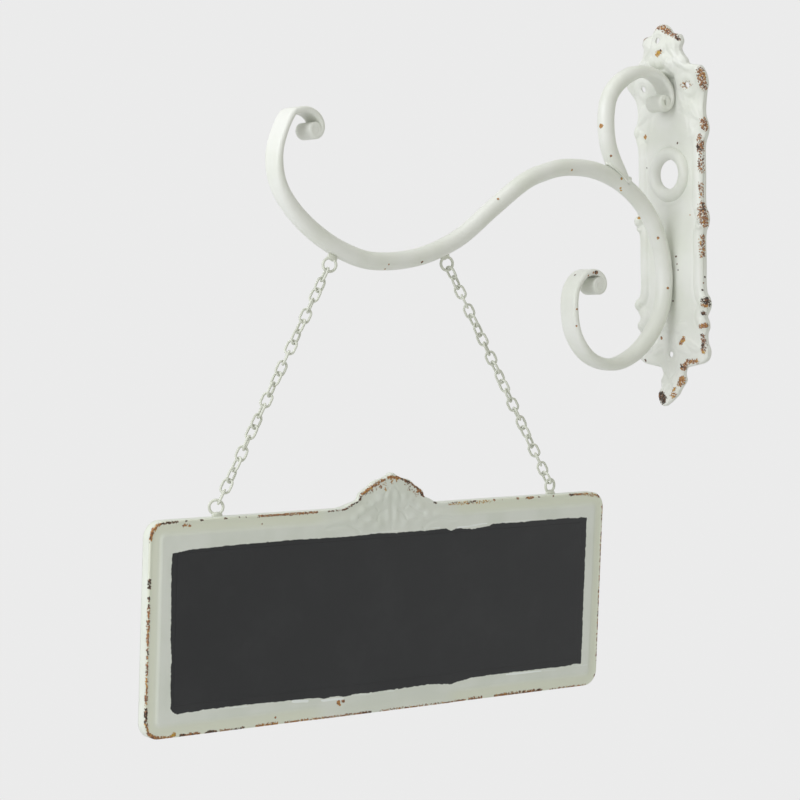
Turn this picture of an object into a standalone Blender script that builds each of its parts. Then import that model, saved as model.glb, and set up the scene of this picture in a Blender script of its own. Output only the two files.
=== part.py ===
# Wall chalkboard: a scrolled bracket of painted steel tube stands out from a pressed back plate,
# and a small framed chalkboard hangs from it on two chains.
# The wall is the plane X = 0, the bracket reaches towards -X, the board faces -Y and +Z is up.
# The origin lies on the back plate's edge against the wall, at the plate's lower tip.

import math

import bmesh
import bpy
import numpy as np
from mathutils import Matrix, Vector

mm = 0.001

# Shared
clearance = 0.3 * mm          # left between pieces that touch
cut_overrun = 30 * mm         # how far a cutter runs past what it cuts
round_steps = 2               # steps round a pressed edge
turns = math.tau

# Back plate, pressed from sheet, hollow behind
plate_height = 289.2 * mm
plate_half_width = 41.5 * mm
plate_depth = 5.0 * mm        # from the wall to the flat front
plate_sheet = 1.2 * mm
plate_edge_round = 1.6 * mm
plate_outline_steps = 2       # samples between two points of the outline
collar_height = 174.4 * mm    # middle of the raised collar, above the lower tip
collar_radius = 19.3 * mm
collar_rise = 3.4 * mm
collar_hole_radius = 10.5 * mm
collar_sides = 24
# From the collar's foot to the hole's edge: shares of the way in and of the rise.
collar_profile_shares = (
    (0.00, 0.00), (0.10, 0.38), (0.28, 0.80), (0.50, 1.00), (0.74, 0.84), (0.92, 0.45), (1.00, -0.10),
)
screw_hole_radius = 2.25 * mm
screw_hole_sides = 10
top_screw_drop = 13.2 * mm    # below the plate's top
side_screw_drop = 48.2 * mm
side_screw_spread = 23.5 * mm
foot_screw_height = 38.5 * mm
bead_spread = 29.5 * mm       # from the plate's middle line to a pressed bead
bead_half_width = 3.0 * mm
bead_rise = 1.5 * mm
bead_foot = 58.0 * mm
bead_screw_gap = 36.0 * mm    # from a bead's top up to the side screws
bead_end_steps = 4
bead_profile_shares = ((0.0, 0.0), (0.35, 0.75), (0.75, 1.0))   # of the half width and of the rise
# Half of the outline from the top down: shares of the half width and of the height.
plate_outline_shares = (
    (0.000, 1.000), (0.150, 0.991), (0.262, 0.974), (0.330, 0.974), (0.452, 0.967),
    (0.505, 0.951), (0.452, 0.932), (0.505, 0.918), (0.600, 0.903), (0.640, 0.891),
    (0.760, 0.890), (0.930, 0.883), (1.000, 0.862), (0.990, 0.838), (0.915, 0.818),
    (0.862, 0.795), (0.850, 0.757), (0.905, 0.735), (0.925, 0.720), (0.895, 0.703),
    (0.838, 0.684), (0.824, 0.600), (0.830, 0.517), (0.885, 0.502), (0.905, 0.486),
    (0.880, 0.470), (0.822, 0.454), (0.808, 0.380), (0.822, 0.296), (0.890, 0.282),
    (0.925, 0.264), (0.875, 0.245), (0.825, 0.233), (0.868, 0.220), (0.882, 0.205),
    (0.830, 0.186), (0.842, 0.164), (0.900, 0.145), (0.868, 0.124), (0.740, 0.112),
    (0.520, 0.107), (0.330, 0.102), (0.262, 0.084), (0.300, 0.065), (0.248, 0.047),
    (0.235, 0.030), (0.130, 0.011), (0.000, 0.000),
)

# Scrolled tube, flattened towards its rolled ends
tube_radius = 6.35 * mm
tube_sides = 10
ribbon_half = 2.35 * mm       # half the thickness of a fully flattened end
ring_spacing = 24.0 * mm      # between two sections along a straight stretch
ring_turn = math.radians(24)  # between two sections round a bend
route_steps = 12              # samples between two points of a route
curl_samples = 32
roll_core = 3.3 * mm          # middle of the ribbon's wall round the heart of a roll

# Main arm
arm_reach = 367.0 * mm        # from its turn at the plate to its outer turn
arm_rise = 180.5 * mm         # from the lowest to the highest stretch
arm_foot = 32.1 * mm          # lowest stretch, above the plate's tip
# Middle line of the tube from the outer turn down and back: shares of the reach and of the rise.
arm_route_shares = (
    (1.0000, 0.843), (0.9955, 0.723), (0.9600, 0.616), (0.8865, 0.503), (0.8000, 0.434),
    (0.7430, 0.424), (0.6840, 0.434), (0.6290, 0.459), (0.5545, 0.521), (0.4680, 0.639),
    (0.3780, 0.753), (0.3280, 0.788), (0.2880, 0.806), (0.2430, 0.810), (0.1980, 0.802),
    (0.1430, 0.770), (0.0880, 0.709), (0.0430, 0.620), (0.0130, 0.502), (0.0000, 0.362),
    (0.0105, 0.226), (0.0430, 0.121), (0.0955, 0.036), (0.1580, 0.000), (0.2200, 0.036),
    (0.2590, 0.131), (0.2680, 0.245),
)
outer_curl_shares = (0.9210, 0.919)   # middle of the outer roll
outer_curl_radius = 20.5 * mm
outer_curl_start = math.radians(147)
outer_curl_sweep = math.radians(380)
outer_curl_closing = 0.72             # how fast the curl closes in, per radian
outer_flat_run = 60.0 * mm            # flat for this far from the end
outer_round_run = 150.0 * mm          # round again from here
lower_curl_shares = (0.2037, 0.3247)
lower_curl_radius = 22.0 * mm
lower_curl_start = math.radians(188)
lower_curl_sweep = math.radians(405)
lower_curl_closing = 0.66
lower_flat_run = 60.0 * mm
lower_round_run = 200.0 * mm

# Upper brace, welded on top of the arm and against the plate
brace_height = 85.6 * mm      # from its foot on the arm to its crown
brace_bulge = 16.6 * mm       # how far it leans out from its foot
brace_foot_share = 0.594      # where it stands, as a share of the arm's length
# Middle line from the foot up: shares of the bulge and of the height.
brace_route_shares = (
    (0.00, 0.00), (0.33, 0.12), (0.63, 0.22), (0.90, 0.35), (1.00, 0.48), (0.99, 0.61),
    (0.84, 0.74), (0.58, 0.82), (0.20, 0.89), (-0.30, 0.95), (-0.86, 0.99),
)
brace_curl_height = 62.8 * mm         # middle of its roll, above its foot
brace_curl_radius = 26.0 * mm
brace_curl_start = math.radians(119)
brace_curl_sweep = math.radians(385)
brace_curl_closing = 0.80
brace_flat_run = 25.0 * mm
brace_round_run = 95.0 * mm

# Wire eyes for the chains
eye_wire = 1.75 * mm
eye_radius = 4.6 * mm         # middle of the wire
eye_steps = 16
weld_sides = 10
weld_rings = 6
seat_sides = 48               # of the round that fits a weld to the arm
board_weld_throat = 0.5 * mm  # between an eye's outside and what it is welded to
left_arm_weld_throat = 1.8 * mm
right_arm_weld_throat = 0.5 * mm
weld_half_length = 4.2 * mm
weld_half_width = 2.2 * mm
weld_half_height = 2.4 * mm
left_arm_eye_share = 0.2140   # places along the arm's length
right_arm_eye_share = 0.3420
left_arm_eye_turn = math.radians(-20)    # of each eye's plane, from the board's plane
right_arm_eye_turn = math.radians(-12)
left_board_eye_turn = math.radians(-28)
right_board_eye_turn = math.radians(6)

# Chains
link_wire = 1.55 * mm
link_half_width = 3.2 * mm    # to the middle of the wire
link_end_steps = 4
left_link_count = 22
right_link_count = 23
left_first_turn = math.radians(-107)
left_link_turn = math.radians(-69.2)
right_first_turn = math.radians(-84)
right_link_turn = math.radians(-74)
open_eye_slack = 0.5 * mm     # extra room where the right chain meets the board

# Board
board_width = 406.0 * mm
board_height = 145.0 * mm     # without the crest
board_offset = 6.3 * mm       # its middle lies this much further out than the arm eyes' middle
board_drop = 162.0 * mm       # from the arm eyes' middle to the board eyes
left_eye_inset = 58.5 * mm    # from the board's ends
right_eye_inset = 47.5 * mm
board_sheet = 0.9 * mm
board_depth = 8.0 * mm        # of the turned-back rim
board_edge_round = 2.2 * mm
board_corner_radius = 11.5 * mm
corner_steps = 4
window_border = 18.5 * mm
window_corner_radius = 3.0 * mm
window_step_width = 9.5 * mm  # of the raised strip round the window
window_step_rise = 0.8 * mm
window_lip_depth = 0.25 * mm
# Across the raised strip from the outer border to the window: shares of its width and of its rise.
window_step_shares = (
    (1.00, 0.00), (0.86, 0.28), (0.72, 0.84), (0.60, 1.00), (0.08, 1.00), (0.00, 0.60),
)
crest_half_width = 44.0 * mm
crest_height = 23.2 * mm
crest_rim_depth = 4.2 * mm    # the turned-back rim is narrower round the crest
crest_rim_fade = 5.0 * mm     # height over which it narrows
crest_steps = 2
# Half of the crest from its foot to its peak: shares of the half width and of the height.
crest_outline_shares = (
    (1.00, 0.00), (0.89, 0.05), (0.80, 0.14), (0.725, 0.19), (0.665, 0.26), (0.645, 0.38),
    (0.585, 0.48), (0.46, 0.61), (0.375, 0.74), (0.28, 0.80), (0.18, 0.845), (0.09, 0.92),
    (0.00, 1.00),
)
chalk_sheet = 0.8 * mm
chalk_overlap = 4.0 * mm      # behind the border, all round

paint_colour = (0.80, 0.81, 0.74, 1.0)
frame_colour = (0.70, 0.73, 0.68, 1.0)
chalk_colour = (0.04, 0.043, 0.043, 1.0)


def clear_scene():
    for obj in list(bpy.data.objects):
        bpy.data.objects.remove(obj)


def new_collection(name):
    collection = bpy.data.collections.new(name)
    bpy.context.scene.collection.children.link(collection)
    return collection


def new_material(name, colour, roughness, metallic=0.0):
    material = bpy.data.materials.new(name)
    material.use_nodes = True
    shader = material.node_tree.nodes["Principled BSDF"]
    shader.inputs["Base Color"].default_value = colour
    shader.inputs["Roughness"].default_value = roughness
    shader.inputs["Metallic"].default_value = metallic
    material.diffuse_color = colour
    return material


def new_object(name, data, collection, material=None):
    obj = bpy.data.objects.new(name, data)
    collection.objects.link(obj)
    if material:
        data.materials.append(material)
    return obj


def mesh_of(bm, name):
    mesh = bpy.data.meshes.new(name)
    bm.to_mesh(mesh)
    bm.free()
    mesh.shade_smooth()
    mesh.set_sharp_from_angle(angle=math.radians(40))
    return mesh


def mesh_from_curve(obj):
    """Turns a curve object into a mesh object of the same name and place, with its caps welded on."""
    bpy.context.view_layer.update()
    mesh = bpy.data.meshes.new_from_object(obj.evaluated_get(bpy.context.evaluated_depsgraph_get()))
    bm = bmesh.new()
    bm.from_mesh(mesh)
    bmesh.ops.remove_doubles(bm, verts=bm.verts, dist=clearance / 100)
    name, collection, place = obj.name, obj.users_collection[0], obj.matrix_world.copy()
    bpy.data.objects.remove(obj)
    made = new_object(name, mesh_of(bm, name), collection)
    made.matrix_world = place
    return made


def boolean(obj, other, operation):
    modifier = obj.modifiers.new(operation.lower(), "BOOLEAN")
    modifier.operation = operation
    modifier.solver = "EXACT"
    modifier.object = other
    other.hide_render = True
    other.display_type = "WIRE"


# Routes and lofts


def smooth_through(points, steps, closed=False):
    """Samples a centripetal Catmull-Rom curve through the points."""
    points = np.asarray(points, float)
    if closed:
        padded = np.vstack([points[-1:], points, points[:2]])
    else:
        padded = np.vstack([2 * points[0] - points[1], points, 2 * points[-1] - points[-2]])
    knots = np.concatenate([[0], np.cumsum(np.linalg.norm(np.diff(padded, axis=0), axis=1) ** 0.5)])
    out = []
    for k in range(1, len(padded) - 2):
        a, b, c, d = knots[k - 1:k + 3]
        p, q, r, s = padded[k - 1:k + 3]
        for t in np.linspace(b, c, steps, endpoint=False):
            left = (b - t) / (b - a) * p + (t - a) / (b - a) * q
            middle = (c - t) / (c - b) * q + (t - b) / (c - b) * r
            right = (d - t) / (d - c) * r + (t - c) / (d - c) * s
            near = (c - t) / (c - a) * left + (t - a) / (c - a) * middle
            far = (d - t) / (d - b) * middle + (t - b) / (d - b) * right
            out.append((c - t) / (c - b) * near + (t - b) / (c - b) * far)
    if not closed:
        out.append(padded[-2])
    return np.array(out)


def curl_points(centre, radius, start, sweep, closing):
    """A curl that runs clockwise and closes in on its roll: its radius falls away exponentially."""
    swept = np.linspace(0, sweep, curl_samples)
    reach = roll_core + (radius - roll_core) * np.exp(-closing * swept)
    angle = start - swept
    return centre + np.stack([reach * np.cos(angle), reach * np.sin(angle)], 1)


class Route:
    """A flat route in the plane Y = 0, sampled finely, that can be read at any length along it."""

    def __init__(self, points):
        self.points = smooth_through(points, route_steps)
        steps = np.linalg.norm(np.diff(self.points, axis=0), axis=1)
        self.lengths = np.concatenate([[0], np.cumsum(steps)])
        self.length = self.lengths[-1]

    def at(self, length):
        return np.array([np.interp(length, self.lengths, self.points[:, k]) for k in (0, 1)])

    def along(self, length):
        step = self.length / len(self.points)
        way = self.at(min(length + step, self.length)) - self.at(max(length - step, 0))
        return way / np.linalg.norm(way)

    def stations(self):
        """Lengths for the sections: closer together where the route bends."""
        ways = np.diff(self.points, axis=0)
        angles = np.unwrap(np.arctan2(ways[:, 1], ways[:, 0]))
        bends = np.concatenate([[0], np.cumsum(np.abs(np.diff(angles))), [0]])
        bends[-1] = bends[-2]
        spent = self.lengths / ring_spacing + bends / ring_turn
        count = math.ceil(spent[-1])
        return np.interp(np.linspace(0, spent[-1], count + 1), spent, self.lengths)


def ease(value, low, high):
    share = np.clip((value - low) / (high - low), 0, 1)
    return share * share * (3 - 2 * share)


def section_of(half_thickness):
    """A flattened tube's section with the round tube's own girth, as (across, through) pairs."""
    half_straight = math.pi * (tube_radius - half_thickness) / 2
    angles = (np.arange(tube_sides) + 0.5) * turns / tube_sides
    across = half_straight * np.sign(np.cos(angles)) + half_thickness * np.cos(angles)
    return np.stack([across, half_thickness * np.sin(angles)], 1)


def loft_tube(name, route, stations, half_thickness):
    """Sections set square to the route, one after another, skinned and capped."""
    bm = bmesh.new()
    rings = []
    for length in stations:
        x, z = route.at(length)
        way = route.along(length)
        ring = []
        for across, through in section_of(half_thickness(length)):
            ring.append(bm.verts.new((x - way[1] * through, across, z + way[0] * through)))
        rings.append(ring)
    for ring, after in zip(rings, rings[1:]):
        for k in range(tube_sides):
            j = (k + 1) % tube_sides
            bm.faces.new((ring[k], ring[j], after[j], after[k]))
    bm.faces.new(rings[0])
    bm.faces.new(rings[-1])
    bmesh.ops.recalc_face_normals(bm, faces=bm.faces)
    return mesh_of(bm, name)


# Pressed sheet


def ring_at(outline, height):
    return [(a, b, height) for a, b in outline]


def inset(outline, distance):
    """Moves a closed outline square to itself, inwards when it runs anticlockwise."""
    before = outline - np.roll(outline, 1, axis=0)
    after = np.roll(outline, -1, axis=0) - outline
    before /= np.linalg.norm(before, axis=1)[:, None]
    after /= np.linalg.norm(after, axis=1)[:, None]
    way = before + after
    way /= np.linalg.norm(way, axis=1)[:, None]
    return outline + distance * np.stack([-way[:, 1], way[:, 0]], 1)


def turned_back_edge(outline, round_radius, depth_at):
    """Rings from the flat front, over a rounded edge and straight back. depth_at gives the rim's depth
    at a height of the outline."""
    rings = []
    for k in range(round_steps + 1):
        angle = turns / 4 * k / round_steps
        inward = round_radius * (1 - math.sin(angle))
        rings.append(ring_at(inset(outline, inward), -round_radius * (1 - math.cos(angle))))
    rings.append([(a, b, -depth_at(b)) for a, b in outline])
    return rings


def circle(centre, radius, sides):
    angles = np.arange(sides) * turns / sides
    return np.stack([centre[0] + radius * np.cos(angles), centre[1] + radius * np.sin(angles)], 1)


def rounded_box(centre, half_width, half_height, radius, steps):
    points = []
    for corner, (right, up) in enumerate(((1, 1), (-1, 1), (-1, -1), (1, -1))):
        middle = (centre[0] + right * (half_width - radius), centre[1] + up * (half_height - radius))
        for k in range(steps + 1):
            angle = turns / 4 * (corner + k / steps)
            points.append((middle[0] + radius * math.cos(angle), middle[1] + radius * math.sin(angle)))
    return np.array(points)


def long_round(centre, half_width, half_height, steps):
    """A narrow outline with half-round ends, of half_width at its middle."""
    points = []
    for end, up in enumerate((1, -1)):
        for k in range(steps + 1):
            angle = turns / 2 * (end + k / steps)
            rise = up * (half_height - half_width) + half_width * math.sin(angle)
            points.append((centre[0] + half_width * math.cos(angle), centre[1] + rise))
    return np.array(points)


def pressed_mesh(name, runs, place):
    """An open pressed surface. Each run of rings starts on the flat front, and a closed run ends in a lid.
    A point (a, b, rise) goes where place puts it."""
    bm = bmesh.new()
    borders = []
    for rings, closed in runs:
        made = [[bm.verts.new(place(*point)) for point in ring] for ring in rings]
        for ring, after in zip(made, made[1:]):
            for k in range(len(ring)):
                j = (k + 1) % len(ring)
                bm.faces.new((ring[k], ring[j], after[j], after[k]))
        if closed:
            bm.faces.new(made[-1])
        first = made[0]
        for k, vert in enumerate(first):
            other = first[(k + 1) % len(first)]
            borders.append(bm.edges.get((vert, other)) or bm.edges.new((vert, other)))
    filled = bmesh.ops.triangle_fill(bm, use_beauty=True, edges=borders)
    bmesh.ops.recalc_face_normals(bm, faces=bm.faces)
    front = Vector(place(0, 0, 1)) - Vector(place(0, 0, 0))
    flat = next(item for item in filled["geom"] if isinstance(item, bmesh.types.BMFace))
    if flat.normal.dot(front) < 0:
        bmesh.ops.reverse_faces(bm, faces=bm.faces)
    return mesh_of(bm, name)


def thicken(obj, thickness):
    modifier = obj.modifiers.new("sheet", "SOLIDIFY")
    modifier.thickness = thickness
    modifier.offset = -1
    modifier.use_even_offset = True


# Back plate


def plate_outline():
    half = np.array(plate_outline_shares) * (plate_half_width, plate_height)
    half[:, 1] -= plate_sheet / 2
    whole = np.vstack([half, (half * (-1, 1))[-2:0:-1]])
    return smooth_through(whole[::-1], plate_outline_steps, closed=True)


def collar_run():
    """The raised collar round the hole: up from the flat, over a round crown and down into the hole."""
    centre = (0, collar_height - plate_sheet / 2)
    width = collar_radius - collar_hole_radius
    return [
        ring_at(circle(centre, collar_radius - inward * width, collar_sides), rise * collar_rise)
        for inward, rise in collar_profile_shares
    ]


def bead_run(side):
    """A long half-round bead beside the plate's middle."""
    bead_top = plate_height - side_screw_drop - bead_screw_gap
    centre = (side * bead_spread, (bead_foot + bead_top) / 2)
    half_height = (bead_top - bead_foot) / 2
    rings = []
    for inward, rise in bead_profile_shares:
        away = inward * bead_half_width
        outline = long_round(centre, bead_half_width - away, half_height - away, bead_end_steps)
        rings.append(ring_at(outline, rise * bead_rise))
    return rings


def make_back_plate(collection, material):
    runs = [
        (turned_back_edge(plate_outline(), plate_edge_round, lambda height: plate_depth), False),
        (collar_run(), False),
        (bead_run(1), True),
        (bead_run(-1), True),
    ]
    side_screws = plate_height - side_screw_drop
    screw_places = (
        (0, plate_height - top_screw_drop), (side_screw_spread, side_screws),
        (-side_screw_spread, side_screws), (0, foot_screw_height),
    )
    for place in screw_places:
        runs.append(([ring_at(circle(place, screw_hole_radius, screw_hole_sides), 0)], False))
    mesh = pressed_mesh("back_plate", runs, lambda y, z, rise: (-plate_depth - rise, y, z))
    plate = new_object("back_plate", mesh, collection, material)
    thicken(plate, plate_sheet)
    return plate


# Scrolls


def arm_place(shares):
    wall_side = plate_depth + clearance + tube_radius
    return (-wall_side - shares[0] * arm_reach, arm_foot + shares[1] * arm_rise)


def arm_route():
    """From the outer roll's heart, over the top and down beside the plate, to the lower roll's heart."""
    outer = curl_points(arm_place(outer_curl_shares), outer_curl_radius, outer_curl_start,
                        outer_curl_sweep, outer_curl_closing)
    lower = curl_points(arm_place(lower_curl_shares), lower_curl_radius, lower_curl_start,
                        lower_curl_sweep, lower_curl_closing)
    between = [arm_place(shares) for shares in arm_route_shares]
    return Route(np.vstack([outer[::-1], between, lower]))


def arm_half_thickness(route):
    def half_thickness(length):
        outer = ease(length, outer_flat_run, outer_round_run)
        lower = ease(route.length - length, lower_flat_run, lower_round_run)
        return ribbon_half + (tube_radius - ribbon_half) * outer * lower
    return half_thickness


def make_main_arm(collection, material, route):
    mesh = loft_tube("main_scroll_arm", route, route.stations(), arm_half_thickness(route))
    return new_object("main_scroll_arm", mesh, collection, material)


def brace_route(arm):
    """From the foot on the arm up to the crown, and round a curl whose wall side lies against the plate."""
    foot = arm.at(arm.length * brace_foot_share)
    stem = [foot + (-lean * brace_bulge, up * brace_height) for lean, up in brace_route_shares]
    curl = curl_points((0, 0), brace_curl_radius, brace_curl_start, brace_curl_sweep, brace_curl_closing)
    wall_side = plate_depth + clearance + ribbon_half
    curl += (-wall_side - curl[:, 0].max(), foot[1] + brace_curl_height)
    return Route(np.vstack([stem, curl]))


def make_brace(collection, cutters, material, arm):
    route = brace_route(arm)

    def half_thickness(length):
        flat = ease(route.length - length, brace_flat_run, brace_round_run)
        return ribbon_half + (tube_radius - ribbon_half) * flat

    mesh = loft_tube("upper_scroll_brace", route, route.stations(), half_thickness)
    brace = new_object("upper_scroll_brace", mesh, collection, material)
    near = [s for s in arm.stations() if abs(s - arm.length * brace_foot_share) < tube_radius + cut_overrun]
    cutter_mesh = loft_tube("brace_foot_cutter", arm, near, lambda length: tube_radius)
    fat = bmesh.new()
    fat.from_mesh(cutter_mesh)
    fat.normal_update()
    for vert in fat.verts:
        vert.co += vert.normal * clearance
    fat.to_mesh(cutter_mesh)
    fat.free()
    boolean(brace, new_object("brace_foot_cutter", cutter_mesh, cutters), "DIFFERENCE")
    return brace


# Eyes and chains


def ring_curve(name, centre_line, wire):
    """A closed wire through the points of its middle line."""
    curve = bpy.data.curves.new(name, "CURVE")
    curve.dimensions = "3D"
    curve.bevel_depth = wire / 2
    curve.bevel_resolution = 1
    spline = curve.splines.new("POLY")
    spline.points.add(len(centre_line) - 1)
    for point, place in zip(spline.points, centre_line):
        point.co = (*place, 1)
    spline.use_cyclic_u = True
    spline.use_smooth = True
    return curve


def bearing_way(turn, pull):
    """The way from an upright eye's middle to where a pulling chain bears on its wire. turn is about Z."""
    level = Vector((math.cos(turn), math.sin(turn), 0))
    bearing = level * level.dot(pull) + Vector((0, 0, pull.z))
    return bearing.normalized()


def make_eye(name, collection, cutters, material, hub, turn, weld_place, weld_way):
    """A wire ring with the weld that holds it. weld_way points from the ring to what carries it."""
    angles = np.arange(eye_steps) * turns / eye_steps
    circle_line = [(eye_radius * math.cos(a), 0, eye_radius * math.sin(a)) for a in angles]
    ring = new_object(name, ring_curve(name, circle_line, eye_wire), collection)
    ring.location = hub
    ring.rotation_euler.z = turn
    ring = mesh_from_curve(ring)
    ring.data.materials.append(material)

    bm = bmesh.new()
    bmesh.ops.create_uvsphere(bm, u_segments=weld_sides, v_segments=weld_rings, radius=1)
    bmesh.ops.scale(bm, vec=(weld_half_length, weld_half_width, weld_half_height), verts=bm.verts)
    weld = new_object(name + "_weld", mesh_of(bm, name + "_weld"), cutters)
    weld.location = weld_place
    weld.rotation_euler = (0, math.atan2(weld_way.x, weld_way.z), 0)
    boolean(ring, weld, "UNION")
    return ring


def round_cutter(name, cutters, place, way, radius):
    """A cylinder along the arm that leaves a weld fitted to the arm's surface."""
    length = 2 * (weld_half_length + cut_overrun)
    bm = bmesh.new()
    bmesh.ops.create_cone(bm, cap_ends=True, segments=seat_sides,
                          radius1=radius, radius2=radius, depth=length)
    cutter = new_object(name, mesh_of(bm, name), cutters)
    cutter.location = place
    cutter.rotation_euler.y = math.atan2(way.x, way.z)
    return cutter


def block_cutter(name, cutters, place):
    """A block whose top lies at place and that leaves a weld flat underneath."""
    size = 2 * (weld_half_length + cut_overrun)
    bm = bmesh.new()
    bmesh.ops.create_cube(bm, size=size)
    cutter = new_object(name, mesh_of(bm, name), cutters)
    cutter.location = place - Vector((0, 0, size / 2))
    return cutter


def link_line(length):
    """Middle line of a link's wire: two half rounds joined by straight sides."""
    straight = length - 2 * link_half_width
    points = []
    for end in (0, 1):
        for k in range(link_end_steps + 1):
            angle = turns / 2 * (end + k / link_end_steps)
            rise = straight / 2 if end == 0 else -straight / 2
            points.append((link_half_width * math.cos(angle), 0, rise + link_half_width * math.sin(angle)))
    return points


class Chain:
    """Links hung one in another between two seats, each turned a little further than the last."""

    def __init__(self, name, top, foot, count, first_turn, link_turn, slack=0.0):
        self.name = name
        self.count = count
        self.first_turn = first_turn
        self.link_turn = link_turn
        self.way = (foot - top).normalized()
        seat_gap = (eye_wire + link_wire) / 2 + clearance
        self.nest = link_wire + clearance
        self.top = top - self.way * seat_gap
        run = (foot - top).length + 2 * seat_gap + slack
        self.link_length = (run + (count - 1) * self.nest) / count
        self.pitch = self.link_length - self.nest

    def contact_below(self, number):
        """The point between link number and the next one down, counted from 1."""
        return self.top + self.way * (number * self.pitch + self.nest / 2)

    def make(self, collection, material):
        curve = ring_curve(self.name, link_line(self.link_length), link_wire)
        curve.materials.append(material)
        fore = Vector((0, 1, 0))
        side = self.way.cross(fore)
        up = -self.way
        links = []
        for number in range(1, self.count + 1):
            turn = self.first_turn + (number - 1) * self.link_turn
            across = side * math.cos(turn) + fore * math.sin(turn)
            middle = self.top + self.way * ((number - 1) * self.pitch + self.link_length / 2)
            link = bpy.data.objects.new(f"{self.name}_{number:02d}", curve)
            collection.objects.link(link)
            axes = Matrix((across, up.cross(across), up)).transposed()
            link.matrix_world = Matrix.Translation(middle) @ axes.to_4x4()
            links.append(link)
        return links


# Board, made round its own hanging axis: X along the board, -Y to its face


def board_outline(top):
    """The rim's outline with its crest, anticlockwise as seen from the front with X to the right."""
    half_width = board_width / 2
    half_height = board_height / 2
    box = rounded_box((0, top - half_height), half_width, half_height, board_corner_radius, corner_steps)
    rising = np.array(crest_outline_shares) * (crest_half_width, crest_height) + (0, top)
    falling = (rising * (-1, 1))[-2::-1]
    crest = smooth_through(np.vstack([rising, falling]), crest_steps)
    per_corner = corner_steps + 1
    return np.vstack([box[:per_corner], crest, box[per_corner:]])


def window_run(top):
    """The raised strip round the window and the lip turned back behind it."""
    centre = (0, top - board_height / 2)
    half_width = board_width / 2 - window_border
    half_height = board_height / 2 - window_border
    profile = [(out * window_step_width, rise * window_step_rise) for out, rise in window_step_shares]
    profile.append((0, -window_lip_depth))
    rings = []
    for out, rise in profile:
        radius = window_corner_radius + out
        outline = rounded_box(centre, half_width + out, half_height + out, radius, corner_steps)
        rings.append(ring_at(outline, rise))
    return rings


def make_board_frame(collection, material, top, front):
    def rim_depth(height):
        return board_depth - (board_depth - crest_rim_depth) * ease(height, top, top + crest_rim_fade)

    runs = [
        (turned_back_edge(board_outline(top), board_edge_round, rim_depth), False),
        (window_run(top), False),
    ]
    mesh = pressed_mesh("board_frame", runs, lambda x, z, rise: (x, front - rise, z))
    frame = new_object("board_frame", mesh, collection, material)
    thicken(frame, board_sheet)
    return frame


def make_chalk_panel(collection, material, top, front):
    half_width = board_width / 2 - window_border + chalk_overlap
    half_height = board_height / 2 - window_border + chalk_overlap
    bm = bmesh.new()
    bmesh.ops.create_cube(bm, size=1)
    bmesh.ops.scale(bm, vec=(2 * half_width, chalk_sheet, 2 * half_height), verts=bm.verts)
    panel = new_object("chalk_panel", mesh_of(bm, "chalk_panel"), collection, material)
    behind = max(window_lip_depth, board_sheet - window_step_rise) + clearance + chalk_sheet / 2
    panel.location = (0, front + behind, top - board_height / 2)
    return panel


def mass_centre(objects):
    """Volume and centre of the evaluated solids, taken as one metal."""
    bpy.context.view_layer.update()
    graph = bpy.context.evaluated_depsgraph_get()
    total = 0.0
    moment = Vector((0, 0, 0))
    for obj in objects:
        evaluated = obj.evaluated_get(graph)
        mesh = evaluated.to_mesh()
        mesh.calc_loop_triangles()
        for triangle in mesh.loop_triangles:
            a, b, c = (evaluated.matrix_world @ mesh.vertices[k].co for k in triangle.vertices)
            volume = a.dot(b.cross(c)) / 6
            total += volume
            moment += (a + b + c) * (volume / 4)
        evaluated.to_mesh_clear()
    return moment / total


# Joints


class Joints:
    """Empties on the joint axes, each carried by its parent joint."""

    def __init__(self, collection):
        self.collection = collection
        self.places = {}
        self.empties = {}

    def add(self, name, place, parent=None):
        empty = bpy.data.objects.new(name, None)
        empty.empty_display_size = eye_radius
        self.collection.objects.link(empty)
        empty.location = place
        if parent:
            empty.parent = self.empties[parent]
            empty.location = place - self.places[parent]
        self.places[name] = place
        self.empties[name] = empty
        return empty

    def carry(self, name, objects):
        for obj in objects:
            obj.parent = self.empties[name]
            obj.location = obj.location - self.places[name]


def make_hanging_board(collection, cutters, joints, materials, seats, hubs):
    """The board, made level round its hanging axis and then let tip until its weight hangs under it."""
    axis = (seats["left"] + seats["right"]) / 2
    rim_top = min(hubs["left"].z, hubs["right"].z) - axis.z - eye_radius - eye_wire / 2 - board_weld_throat
    front = -(board_depth - board_sheet / 2)
    shift = board_middle(seats, hubs) - axis.x
    frame = make_board_frame(collection, materials["frame"], rim_top, front)
    panel = make_chalk_panel(collection, materials["chalk"], rim_top, front)
    for piece in (frame, panel):
        piece.location.x += shift
    pieces = [frame, panel]
    for side, turn in (("left", left_board_eye_turn), ("right", right_board_eye_turn)):
        hub = hubs[side] - axis
        weld_place = Vector((hub.x, 0, rim_top + board_weld_throat))
        name = f"{side}_board_eye"
        up = Vector((0, 0, 1))
        eye = make_eye(name, collection, cutters, materials["paint"], hub, turn, weld_place, up)
        block = block_cutter(name + "_foot_cutter", cutters, Vector((hub.x, 0, rim_top + clearance)))
        boolean(eye, block, "DIFFERENCE")
        pieces += [eye, block, bpy.data.objects[name + "_weld"]]
    weight = mass_centre([piece for piece in pieces if not piece.hide_render])
    empty = joints.add("board_axis", axis, "left_foot_axis")
    for piece in pieces:
        piece.parent = empty
    empty.rotation_euler.x = -math.atan2(weight.y, -weight.z)
    return frame


def board_middle(seats, hubs):
    """Where the board's middle lies, from the eyes' insets at its two ends."""
    left_end = hubs["left"].x - left_eye_inset
    right_end = hubs["right"].x + right_eye_inset
    return (left_end + right_end) / 2


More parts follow.
